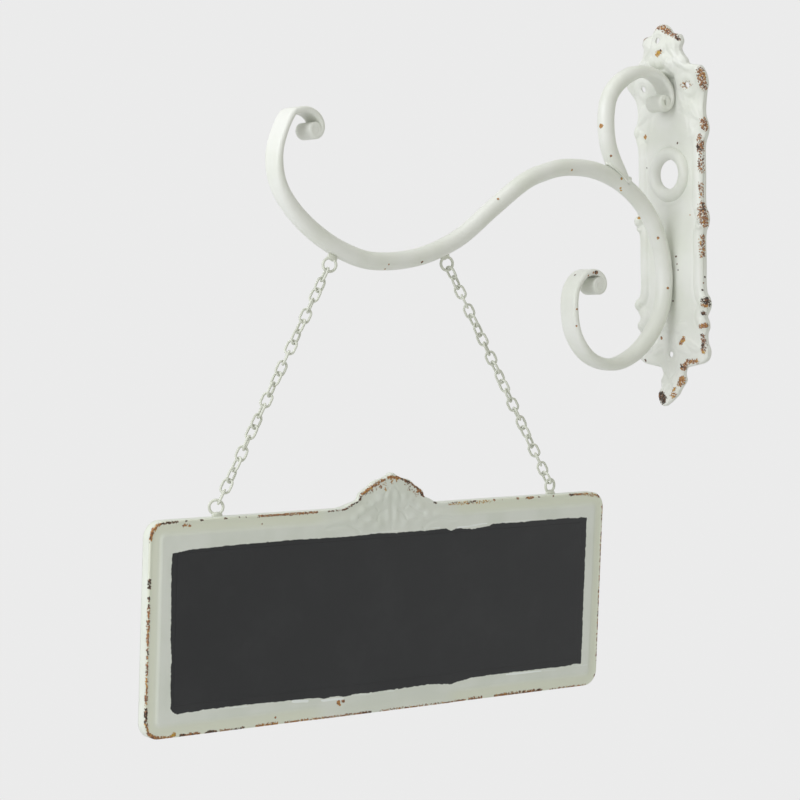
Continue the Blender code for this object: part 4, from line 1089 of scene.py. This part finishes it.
def snapHole(y, z, keep, centre, radius):
    # Drops the faces whose middle lies in the hole and sets what is left of their corners on its edge.
    midY = (y[:-1, :-1] + y[1:, :-1] + y[:-1, 1:] + y[1:, 1:]) / 4 - centre[0]
    midZ = (z[:-1, :-1] + z[1:, :-1] + z[:-1, 1:] + z[1:, 1:]) / 4 - centre[1]
    gone = np.hypot(midY, midZ) < radius
    keep &= ~gone
    touched = np.zeros(y.shape, bool)
    for rows in (slice(None, -1), slice(1, None)):
        for columns in (slice(None, -1), slice(1, None)):
            touched[rows, columns] |= gone
    away = np.hypot(y - centre[0], z - centre[1]) + 1e-9
    y = np.where(touched, centre[0] + (y - centre[0]) * radius / away, y)
    z = np.where(touched, centre[1] + (z - centre[1]) * radius / away, z)
    return y, z, keep


def plateSheet():
    # Rows at the outline's own heights, columns as shares of the half width there, closer at the edges.
    half = plateHalfOutline()
    bend = turns / 4 * plate["crowding"]
    share = np.sin(np.linspace(-1, 1, plate["columns"]) * bend) / math.sin(bend)
    y = half[:, :1] * share
    z = half[:, 1:] + 0 * y
    collarPlace = (0, plate["collarHeight"])
    for screw in plate["screws"]:
        y, z = openHole(y, z, screw, plate["screwRadius"], plate["screwReach"])
    y, z = openHole(y, z, collarPlace, plate["collarRadius"], plate["collarReach"])
    keep = np.ones((len(half) - 1, plate["columns"] - 1), bool)
    for screw in plate["screws"]:
        y, z, keep = snapHole(y, z, keep, screw, plate["screwRadius"])
    y, z, keep = snapHole(y, z, keep, collarPlace, plate["collarRadius"] - plate["collarLap"])
    outline = mirrored(half)
    return y, z, distanceTo(outline, y, z), keep, outline


def plateBend(y, z):
    # How far the sheet bends away from the wall: an S towards the finial, a curl towards the foot's tip.
    return (plate["finialOut"] * ease(z, plate["finialFrom"], plate["finialTo"]) * curlRoom(y, z)
            + plate["tipOut"] * ease(-z, -plate["tipFrom"], -plate["tipTo"]))


def plateSurface(out, y, z, **settings):
    # A grid that stands out from the wall's plane, bent with the sheet. Rust fades down the rim.
    points = np.stack(np.broadcast_arrays(-out - plateBend(y, z), y, z), -1)
    downRim = np.minimum(out - plate["depth"] + plate["rimFade"], 0)
    return gridSurface(points * mm, **markField(y, z, downRim, plate["marks"]), **settings)


platePaint = paintFinish("ivory_paint_plate", paintLook, plate["spots"])
backPaint = paintFinish("ivory_paint_back", {**paintLook, "chipRagged": 0})
y, z, edge, keep, outline = plateSheet()
plateFront = plateSurface(plate["depth"] + plateRelief(y, z, edge), y, z, keep=keep)
rimOut = plate["depth"] + np.linspace(-plate["flankDrop"], -plate["depth"], plate["rimRings"])[:, None]
rimY, rimZ = (outline[:, k] + 0 * rimOut for k in (0, 1))
plateRim = flipped(plateSurface(rimOut, rimY, rimZ, closedColumns=True))

profile = smoothThrough(plate["collarProfile"], steps=5)
angles = circle(plate["collarSteps"])
reach = plate["collarRadius"] - profile[:, :1] * (plate["collarRadius"] - plate["collarHole"])
collarOut = plate["depth"] + profile[:, 1:] * plate["collarRise"] + 0 * angles
collar = plateSurface(collarOut, reach * np.cos(angles), plate["collarHeight"] + reach * np.sin(angles),
                      closedColumns=True)
makePiece("backPlate", [plateFront, plateRim, collar], platePaint, "bracket", ["back_plate"],
          sheet=plate["sheet"], back=backPaint)


# Board

rustLines = {"left": -202.3, "right": 202.3, "top": -10.7, "foot": -154.3}      # where the rim's rust sits


def edgeMarks(side, *spans):
    # Marks along one straight side of the rim, each as its start, end, radius, tone and fullness.
    at = rustLines[side]
    if side in ("left", "right"):
        return [(at, start, at, end, *rest) for start, end, *rest in spans]
    return [(start, at, end, at, *rest) for start, end, *rest in spans]


board = {
    "middle": (-287.081, 0.0, -51.3547), "tip": 4.5222, "top": -9.988, "front": -7.55,
    "width": 406.0, "height": 145.0, "corner": 11.5, "border": 22.0, "windowCorner": 0.02,
    "cornerSteps": 12, "topSteps": 84, "footSteps": 190, "sideSteps": 62,
    "edgeRound": 1.1, "depth": 8.0, "sheet": 0.9, "rimRings": 7,
    "crestHalf": 44.0, "crestHeight": 23.2, "crestDepth": 4.2, "crestFade": 5.0,
    "ornamentHalf": 70, "ornamentFade": 14, "ornamentFoot": (-31.0, -27.0), "ornamentFrom": (1.5, 5),
    "stepFrom": 7.4, "stepTo": 10.2, "stepRise": 0.8, "crestStepLead": 2,
    "dish": 0.35, "dishFrom": (1.0, 3.0), "dishTo": 4.0, "domeFall": 2.2,
    "waves": (0.09, 0.6, 0.12, 0), "waveRise": 0.10, "waveSpan": (2, 5), "rustFade": 0.4,
    # Shares of the way from the edge to the window at which the rings lie.
    "foldShare": 0.10, "foldRings": 8, "lipShare": 0.985, "faceRings": 50, "lastRings": (0.996, 1),
    # The painted shade on the outer band: where it starts to fade, how far past the step it reaches, how much
    # less the crest gets and over what width, and the rim's share.
    "paintedShadeSpan": 5.0, "paintedShadePast": 1.5, "paintedShadeLoss": 0.8, "paintedShadeFade": 20, "rimWarm": 0.3, "paintReach": 3.0,
    # The crest's right half from the rim up, as shares of its half width and its height.
    "crest": (
        (1.0, 0.0), (0.89, 0.05), (0.8, 0.14), (0.725, 0.19), (0.665, 0.26), (0.645, 0.38), (0.585, 0.48),
        (0.46, 0.61), (0.375, 0.74), (0.28, 0.8), (0.18, 0.845), (0.09, 0.92), (0.0, 1.0),
    ),
    # The crest's ornament, with its twins: a leaf as on the plate, domes and creases.
    "leaves": ((30, -28.5, 66, -23.5, 4.0, 0.35, 0.24),),
    "domes": (
        (25.5, -11.5, 5.6, 4, 1.12), (17, -7.6, 5, 4, 1.12), (11, -4.6, 5, 4.6, 1.05),
        (4.2, -3, 3.6, 6.5, 0.9), (32.5, -16.6, 5, 3.6, 0.9), (43, -17, 9.5, 3, 0.75),
        (3.6, -15.5, 3.8, 7.5, 0.9), (12, -22.5, 5.5, 5, 0.9), (19.5, -18, 5.5, 4, 0.9),
        (26, -22, 6, 4.2, 0.75),
    ),
    "creases": (
        (((0, -7.0), (0.4, -15), (0, -26)), 0.22, 1.3),
        (((13.0, -19.0), (10.5, -14.8), (5.5, -12.6)), 0.45, 1.1),
        (((29.0, -16.4), (22.0, -13.0), (15.0, -9.2)), 0.45, 1.1),
        (((21.5, -6.4), (16.0, -8.6), (12.0, -12.0)), 0.35, 1.0),
        (((28.6, -26.0), (37.0, -22.0), (48.5, -21.0), (58.0, -22.5)), 0.5, 1.2),
        (((8.5, -6.5), (7.0, -2.0), (3.0, 3.0)), 0.35, 1.0),
    ),
    "panelOverlap": 3.5, "panelSheet": 0.3, "panelColumns": 128, "panelRows": 48,
    "panelTuck": (0.9, 0.03), "panelInset": (0.03, 0.15), "panelGap": 0.1, "panelSink": 0.02,
    "panelBow": 0.25, "panelFlat": 12,            # how far it bows back, and from how far inside the window
    "panelWaves": (0.045, 0.4, 0.07, 0), "panelWaveRise": 0.08, "slant": (0.11, 0.06), "slantRise": 0.04,
    # The blackboard paint's brushed edge, anticlockwise from the upper right corner.
    "paintEdge": (
        (186.1, -28.2), (159.0, -27.6), (119.8, -27.9), (92.9, -27.9), (91.0, -28.6), (76.9, -30.5),
        (59.9, -28.9), (54.3, -30.4), (50.5, -28.6), (30.3, -28.9), (14.7, -28.7), (3.0, -29.0),
        (-15.0, -28.3), (-37.0, -29.1), (-58.8, -28.8), (-88.9, -28.4), (-138.9, -29.0), (-171.4, -29.7),
        (-179.3, -30.8), (-185.7, -31.2), (-186.0, -35.7), (-185.7, -55.6), (-185.2, -70.2), (-185.0, -88.9),
        (-183.7, -102.3), (-184.1, -107.6), (-184.0, -122.3), (-183.2, -129.1), (-183.7, -135.0),
        (-181.5, -137.6), (-177.3, -139.4), (-171.7, -138.9), (-153.9, -138.3), (-122.6, -138.4),
        (-97.3, -138.8), (-84.6, -139.0), (-62.0, -139.4), (-55.0, -140.9), (-50.0, -139.8), (-43.0, -140.3),
        (-36.8, -141.3), (-30.0, -140.0), (-20.0, -140.3), (12.4, -140.0), (35.0, -139.4), (48.0, -140.2),
        (58.6, -141.2), (66.0, -140.0), (77.3, -138.5), (96.4, -138.0), (125.4, -138.1), (145.0, -138.0),
        (164.9, -138.4), (181.0, -137.5), (186.0, -137.6), (185.9, -97.4), (185.9, -60.0),
    ),
    "marks": (
        (-202.3, -22.2, -201.5, -17.4, 1.5, 0.35, 0.8), (-201.5, -17.4, -199.4, -14.2, 2, 0.4, 0.8),
        (-199.4, -14.2, -195.6, -11.5, 1.8, 0.35, 0.7), (-202.3, -22.5, -202.1, -19.6, 1.3, 0.95, 0.8),
        (-195.3, -11.4, -181.1, -10.7, 1.1, 0.85, 0.5), (-177, -13.6, -170.6, -13.9, 1.5, 0.4, 0.23),
        *edgeMarks("top", (-174.7, -174.2, 1.1, 0.9, 0.9), (-162.6, -161, 1.1, 0.9, 0.8),
            (-143.1, -141.9, 1.1, 0.85, 0.8), (-131.6, -131.2, 1, 0.85, 0.8), (-125.8, -125.4, 1, 0.85, 0.8),
            (-115.8, -88.9, 1.3, 0.5, 0.53), (-88.9, -65, 1.3, 0.5, 0.48), (-82.1, -75.3, 1.4, 0.5, 0.6)),
        (-57.2, -10.7, -41.8, -10.2, 1, 0.8, 0.33), (-41.7, -10.2, -29.9, -5.2, 1.1, 0.85, 0.55),
        (-28.6, -4.2, -27.5, -1.3, 1.2, 0.85, 0.7), (-27.2, -1, -19.5, 3.9, 1.8, 0.5, 0.55),
        (-19.5, 3.9, -8, 8.9, 2, 0.4, 0.45), (-12.3, 7.2, -10.5, 3.6, 1.9, 0.55, 0.2),
        (-27.2, -1.1, -17.4, 1.4, 1.5, 0.85, 0.15), (-3.9, 10.6, 6.2, 9.6, 1.8, 0.35, 0.75),
        (-1.8, 10.4, -0.4, 6.7, 1.9, 0.3, 0.25), (3.1, 10, 3.9, 7, 1.6, 0.3, 0.2),
        (-7.5, 8, -6.3, 2.6, 2.2, 0.2, -0.15), (-16.4, 5.1, -15.4, 1.8, 2.2, 0.45, -0.15),
        (7.4, 9.1, 19.4, 3.9, 1.3, 0.7, 0.6), (19.4, 3.9, 28.6, -4.1, 1.5, 0.65, 0.65),
        (12.1, 4.2, 23.3, -2.7, 2.4, 0.5, -0.05), (38.7, -9.4, 40.3, -9.8, 1.2, 0.95, 0.9),
        (53.1, -11, 90.8, -11, 1.9, 0.15, 0.0),
        *edgeMarks("top", (53.1, 60.8, 1.5, 0.75, 0.1), (70.1, 76.8, 2, 0.85, 0.18),
            (94.6, 95.6, 1.3, 0.5, 0.8), (102.7, 103.2, 1.1, 0.5, 0.8), (116.7, 118.6, 1.3, 0.5, 0.7),
            (125.4, 133.2, 1.3, 0.5, 0.6), (137.6, 138.6, 1.1, 0.85, 0.8), (151.9, 152.9, 1.1, 0.6, 0.8),
            (168.8, 171.3, 1.3, 0.9, 0.8), (173.8, 181.9, 1.3, 0.5, 0.65)),
        (182.9, -10.7, 198, -12.9, 2, 0.28, 0.1), (197, -12.3, 197.9, -12.9, 1.7, 0.75, 0.8),
        *edgeMarks("left", (-47.9, -53.1, 1.7, 0.95, 0.75), (-59.4, -59.7, 1.3, 0.9, 0.8),
            (-65.7, -66.4, 1.3, 0.9, 0.8), (-69, -90.9, 1.5, 0.5, 0.38), (-74.3, -80.3, 1.7, 0.6, 0.5),
            (-86.2, -89.5, 1.5, 0.45, 0.6), (-96.2, -96.9, 1.4, 0.9, 0.8), (-104.5, -105.5, 1.4, 0.6, 0.8),
            (-109.5, -110.1, 1.4, 0.95, 0.8), (-120.1, -121.4, 1.3, 0.5, 0.7),
            (-125.8, -127.1, 1.7, 0.6, 0.8), (-134.1, -142.1, 1.7, 0.85, 0.65)),
        (-202.3, -142.1, -200.1, -150, 1.7, 0.45, 0.65),
        *edgeMarks("left", (-66, -131, 1.3, 0.4, 0.1), (-60, -127, 0.9, 0.9, -0.05)),
        (-200, -150.1, -197.3, -152.6, 2.1, 0.45, 0.8), (-197.3, -152.6, -192.1, -154.2, 2.1, 0.5, 0.7),
        (-190.7, -154.3, -181.1, -154.3, 1.8, 0.4, 0.6), (-180.4, -152.8, -179.6, -152.6, 2.1, 0.1, 1.0),
        *edgeMarks("foot", (-174.3, -173, 1.8, 0.95, 0.8), (-170.6, -159.2, 1.6, 0.6, 0.6),
            (-153.5, -145.4, 1.6, 0.9, 0.65), (-142.9, -125.5, 1.3, 0.5, 0.38), (-133, -123, 1.4, 0.9, 0.48),
            (-111.3, -94.4, 1.9, 0.4, 0.55), (-87.6, -53.1, 1.4, 0.45, 0.43), (-53.1, -16.9, 1.4, 0.5, 0.43),
            (-21.4, -13.4, 1.9, 0.85, 0.65), (-4.4, 36.7, 1.3, 0.5, 0.23), (36.7, 74.1, 1.3, 0.5, 0.23),
            (77.8, 90.2, 1.9, 0.55, 0.55), (102.7, 117.2, 1.9, 0.55, 0.55), (118.1, 140.7, 2.1, 0.65, 0.65),
            (143.6, 147.6, 1.9, 0.7, 0.8), (156.5, 191.7, 1.3, 0.5, 0.18)),
        *edgeMarks("right", (-29, -29.7, 1.1, 0.75, 0.8), (-36.5, -36.8, 1.1, 0.8, 0.8),
            (-41.7, -43.2, 1.3, 0.6, 0.7), (-51.5, -52.2, 1.1, 0.8, 0.8), (-61.6, -62.4, 1.1, 0.7, 0.8),
            (-69.9, -70.6, 1.1, 0.8, 0.8), (-72.8, -73.6, 1.5, 0.3, 0.8), (-76.3, -76.6, 1.1, 0.8, 0.8),
            (-93.2, -94, 1.1, 0.7, 0.8), (-100.4, -101.1, 1.1, 0.8, 0.8), (-106.8, -107.5, 1.1, 0.6, 0.8),
            (-110.9, -111.7, 1.1, 0.8, 0.8)),
        (201.4, -147.7, 201.1, -148.3, 1.4, 0.5, 0.8), (202.1, -19.7, 202.3, -136.6, 1.1, 0.5, 0.15),
    ),
    # Whiter marks along the blackboard paint, without the tone: partly dry-brushed streaks, partly painted
    # highlights where the frame's lip catches light.
    "streaksAndHighlights": (
        (-82, -139.9, -69, -141.0, 1.7, 0.9), (-57, -141.9, -38, -142.3, 1.5, 0.9),
        (-30, -141.2, 8, -141.4, 1.2, 0.4), (112, -139.2, 146, -139.6, 1.2, 0.6),
        (146, -139.6, 192, -139.4, 1.6, 0.1), (60, -28.4, 88, -27.4, 1.1, 0.6),
        (-20, -27.6, 44, -27.6, 0.9, 0.2), (96, -26.8, 140, -26.8, 0.8, 0.1),
        (-150, -139.2, -100, -139.6, 0.9, 0.0),
    ),
    "spots": (
        (-329.4, 3.1, -196.1, 1.7, 0.3), (-325.3, 3.1, -195.6, 1.5, 0.55), (-328.0, 3.3, -198.0, 0.8, 0.4),
        (-382.7, 4.7, -201.3, 0.8, 0.6), (-399.2, -6.0, -68.1, 0.6, 0.4),
    ),
}


def roundedCorner(middle, radius, quarter):
    # A quarter of a circle. The first runs from the right up to the top, and the others go on from there.
    angle = turns / 4 * (quarter + np.linspace(0, 1, board["cornerSteps"]))
    return np.stack([middle[0] + radius * np.cos(angle), middle[1] + radius * np.sin(angle)], 1)


def boardOutlines():
    # The outer edge and the window's edge, anticlockwise and point for point beside each other.
    halfWidth, halfHeight = board["width"] / 2, board["height"] / 2
    centreZ = board["top"] - halfHeight
    edges = []
    for inset, radius in ((0, board["corner"]), (board["border"], board["windowCorner"])):
        right, up = halfWidth - inset - radius, halfHeight - inset - radius
        edges.append([roundedCorner((sx * right, centreZ + sz * up), radius, quarter)
                      for quarter, (sx, sz) in enumerate(((1, 1), (-1, 1), (-1, -1), (1, -1)))])
    rising = np.array(board["crest"]) * (board["crestHalf"], board["crestHeight"]) + (0, board["top"])
    crest = smoothThrough(np.vstack([rising, (rising * (-1, 1))[-2::-1]]), steps=8)
    startX, endX = edges[0][0][-1, 0], edges[0][1][0, 0]
    lead = np.linspace(startX, board["crestHalf"], board["topSteps"])[1:-1]
    tail = np.linspace(-board["crestHalf"], endX, board["topSteps"])[1:-1]
    topOuter = np.vstack([np.stack([lead, 0 * lead + board["top"]], 1), crest,
                          np.stack([tail, 0 * tail + board["top"]], 1)])
    scale = edges[1][0][-1, 0] / startX
    topInner = np.stack([topOuter[:, 0] * scale, 0 * topOuter[:, 0] + edges[1][0][-1, 1]], 1)
    outer, inner = [edges[0][0], topOuter, edges[0][1]], [edges[1][0], topInner, edges[1][1]]
    straights = ((1, 2, board["sideSteps"]), (2, 3, board["footSteps"]), (3, 0, board["sideSteps"]))
    for first, second, steps in straights:
        share = np.linspace(0, 1, steps)[1:-1, None]
        for made, corner in ((outer, edges[0]), (inner, edges[1])):
            made.append(corner[first][-1] * (1 - share) + corner[second][0] * share)
            if second:
                made.append(corner[second])
    return np.vstack(outer), np.vstack(inner)


def boardRelief(x, z, edge):
    # A tight fold, a shallow dish and a soft step up to the strip round the window. The crest's leaf, its
    # domes, which fall off as bells, and its creases stand on the step.
    side = np.abs(x)
    fold = np.clip(1 - edge / board["edgeRound"], 0, 1)
    rise = -board["edgeRound"] * (1 - np.sqrt(1 - fold ** 2))
    start, end = board["stepFrom"], board["stepTo"]
    dish = board["dish"] * ease(edge, *board["dishFrom"]) * (1 - ease(edge, board["dishTo"], end))
    crestHere = ease(board["ornamentHalf"] - side, 0, board["ornamentFade"])
    toWindow = ease(board["top"] - z, start - board["crestStepLead"], end) * crestHere
    step = board["stepRise"] * (ease(edge, start, end) * (1 - crestHere) + toWindow)
    tall = np.zeros_like(rise)
    for leaf in board["leaves"]:
        tall = np.maximum(tall, leafRise(side, z, *leaf))
    for midX, midZ, halfX, halfZ, high in board["domes"]:
        away = ((side - midX) / halfX) ** 2 + ((z - midZ) / halfZ) ** 2
        tall = tall + high * np.exp(-board["domeFall"] * away)
    tall = tall - creaseFall(side, z, board["creases"])
    wave = board["waveRise"] * ripple(x, z, *board["waves"]) * ease(edge, *board["waveSpan"])
    return (rise - dish + step + wave
            + tall * ease(edge, *board["ornamentFrom"]) * ease(z, *board["ornamentFoot"]))


def placed(x, z, rise):
    # A point of the board's own flat frame, tipped back and hung in its place.
    flat = np.stack([x, board["front"] - rise, z], -1)
    return turned(flat, board["tip"], 0, 0) + board["middle"]


def insideOf(line, x, z):
    # 1 inside a closed line and -1 outside, by how often a way to the right crosses it.
    crossings = np.zeros(x.shape, int)
    for (ax, az), (bx, bz) in zip(line, np.roll(line, -1, 0)):
        if az != bz:
            at = ax + (z - az) / (bz - az) * (bx - ax)
            crossings += ((az > z) != (bz > z)) & (x < at)
    return np.where(crossings % 2 == 1, 1, -1)


def boardSurface(x, z, rise, **settings):
    # A grid on the board, with its rust, and its whiter streaks and painted highlights.
    back = np.minimum(rise + board["rustFade"], 0)
    streaksAndHighlights = [(*stroke[:5], 0, stroke[5]) for stroke in board["streaksAndHighlights"]]
    return gridSurface(placed(x, z, rise) * mm, **markField(x, z, back, board["marks"]),
                       pale=markField(x, z, back, streaksAndHighlights)["chip"], **settings)


outer, inner = boardOutlines()
framePaint = paintFinish("frame_paint_worn_shaded", shadedFrameLook, board["spots"], chalkLook)
fold, lip = board["foldShare"], board["lipShare"]
across = np.concatenate([np.linspace(0, fold, board["foldRings"])[:-1],
                         np.linspace(fold, lip, board["faceRings"]), board["lastRings"]])[:, None, None]
band = outer * (1 - across) + inner * across
x, z = band[..., 0], band[..., 1]
edge = distanceTo(outer, x, z)
edge[0] = 0
paintEdge = np.array(board["paintEdge"])
cover = distanceTo(paintEdge, x, z) * insideOf(paintEdge, x, z)
cover = np.clip(cover, -board["paintReach"], board["paintReach"])
# Painted shade: the border's outer band, which lies in shade, is tinted yellower, and the crest gets less of
# it.
warm = 1 - board["paintedShadeLoss"] * ease(board["ornamentHalf"] - np.abs(x), 0, board["paintedShadeFade"])
warm = warm * (1 - ease(edge, board["paintedShadeSpan"], board["stepTo"] + board["paintedShadePast"]))
frontSkin = boardSurface(x, z, boardRelief(x, z, edge), closedColumns=True, chalk=cover, warm=warm)
rimDepth = board["depth"] - (board["depth"] - board["crestDepth"]) * ease(
    outer[:, 1], board["top"], board["top"] + board["crestFade"])
rimShare = np.linspace(0, 1, board["rimRings"])[:, None]
rimBack = -board["edgeRound"] * (1 - rimShare) - rimDepth * rimShare
rimX, rimZ = (outer[:, k] + 0 * rimBack for k in (0, 1))
rimSkin = flipped(boardSurface(rimX, rimZ, rimBack, closedColumns=True, chalk=-board["paintReach"],
                               warm=board["rimWarm"]))
makePiece("boardFrame", [frontSkin, rimSkin], framePaint, "board", ["board_frame"],
          sheet=board["sheet"], back=backPaint)


def panelLine(half, count):
    # Stations across the panel. Those past the window's edge, half, dip behind the frame's sheet.
    far, near = board["panelTuck"]
    tuck = np.array([-board["panelOverlap"], -far, -near, *board["panelInset"]])
    return np.concatenate([-half + tuck, np.linspace(-half, half, count)[1:-1], (half - tuck)[::-1]])


# The panel fills the window flush.
halfX, halfZ = board["width"] / 2 - board["border"], board["height"] / 2 - board["border"]
panelX, panelZ = np.meshgrid(panelLine(halfX, board["panelColumns"]), panelLine(halfZ, board["panelRows"]))
within = np.minimum(halfX - np.abs(panelX), halfZ - np.abs(panelZ))
slant = np.sin(panelX * board["slant"][0] + panelZ * board["slant"][1])
waves = board["panelWaveRise"] * ripple(panelX, panelZ, *board["panelWaves"]) + board["slantRise"] * slant
panelRise = (board["stepRise"] + (waves - board["panelBow"]) * ease(within, 0, board["panelFlat"])
             - board["panelSink"] - (board["sheet"] + board["panelGap"]) * (within < 0))
panelPoints = placed(panelX, panelZ + board["top"] - board["height"] / 2, panelRise) * mm
makePiece("chalkPanel", [flipped(gridSurface(panelPoints))], chalkPaint, "board", ["chalk_panel"],
          sheet=board["panelSheet"])
print("board made")
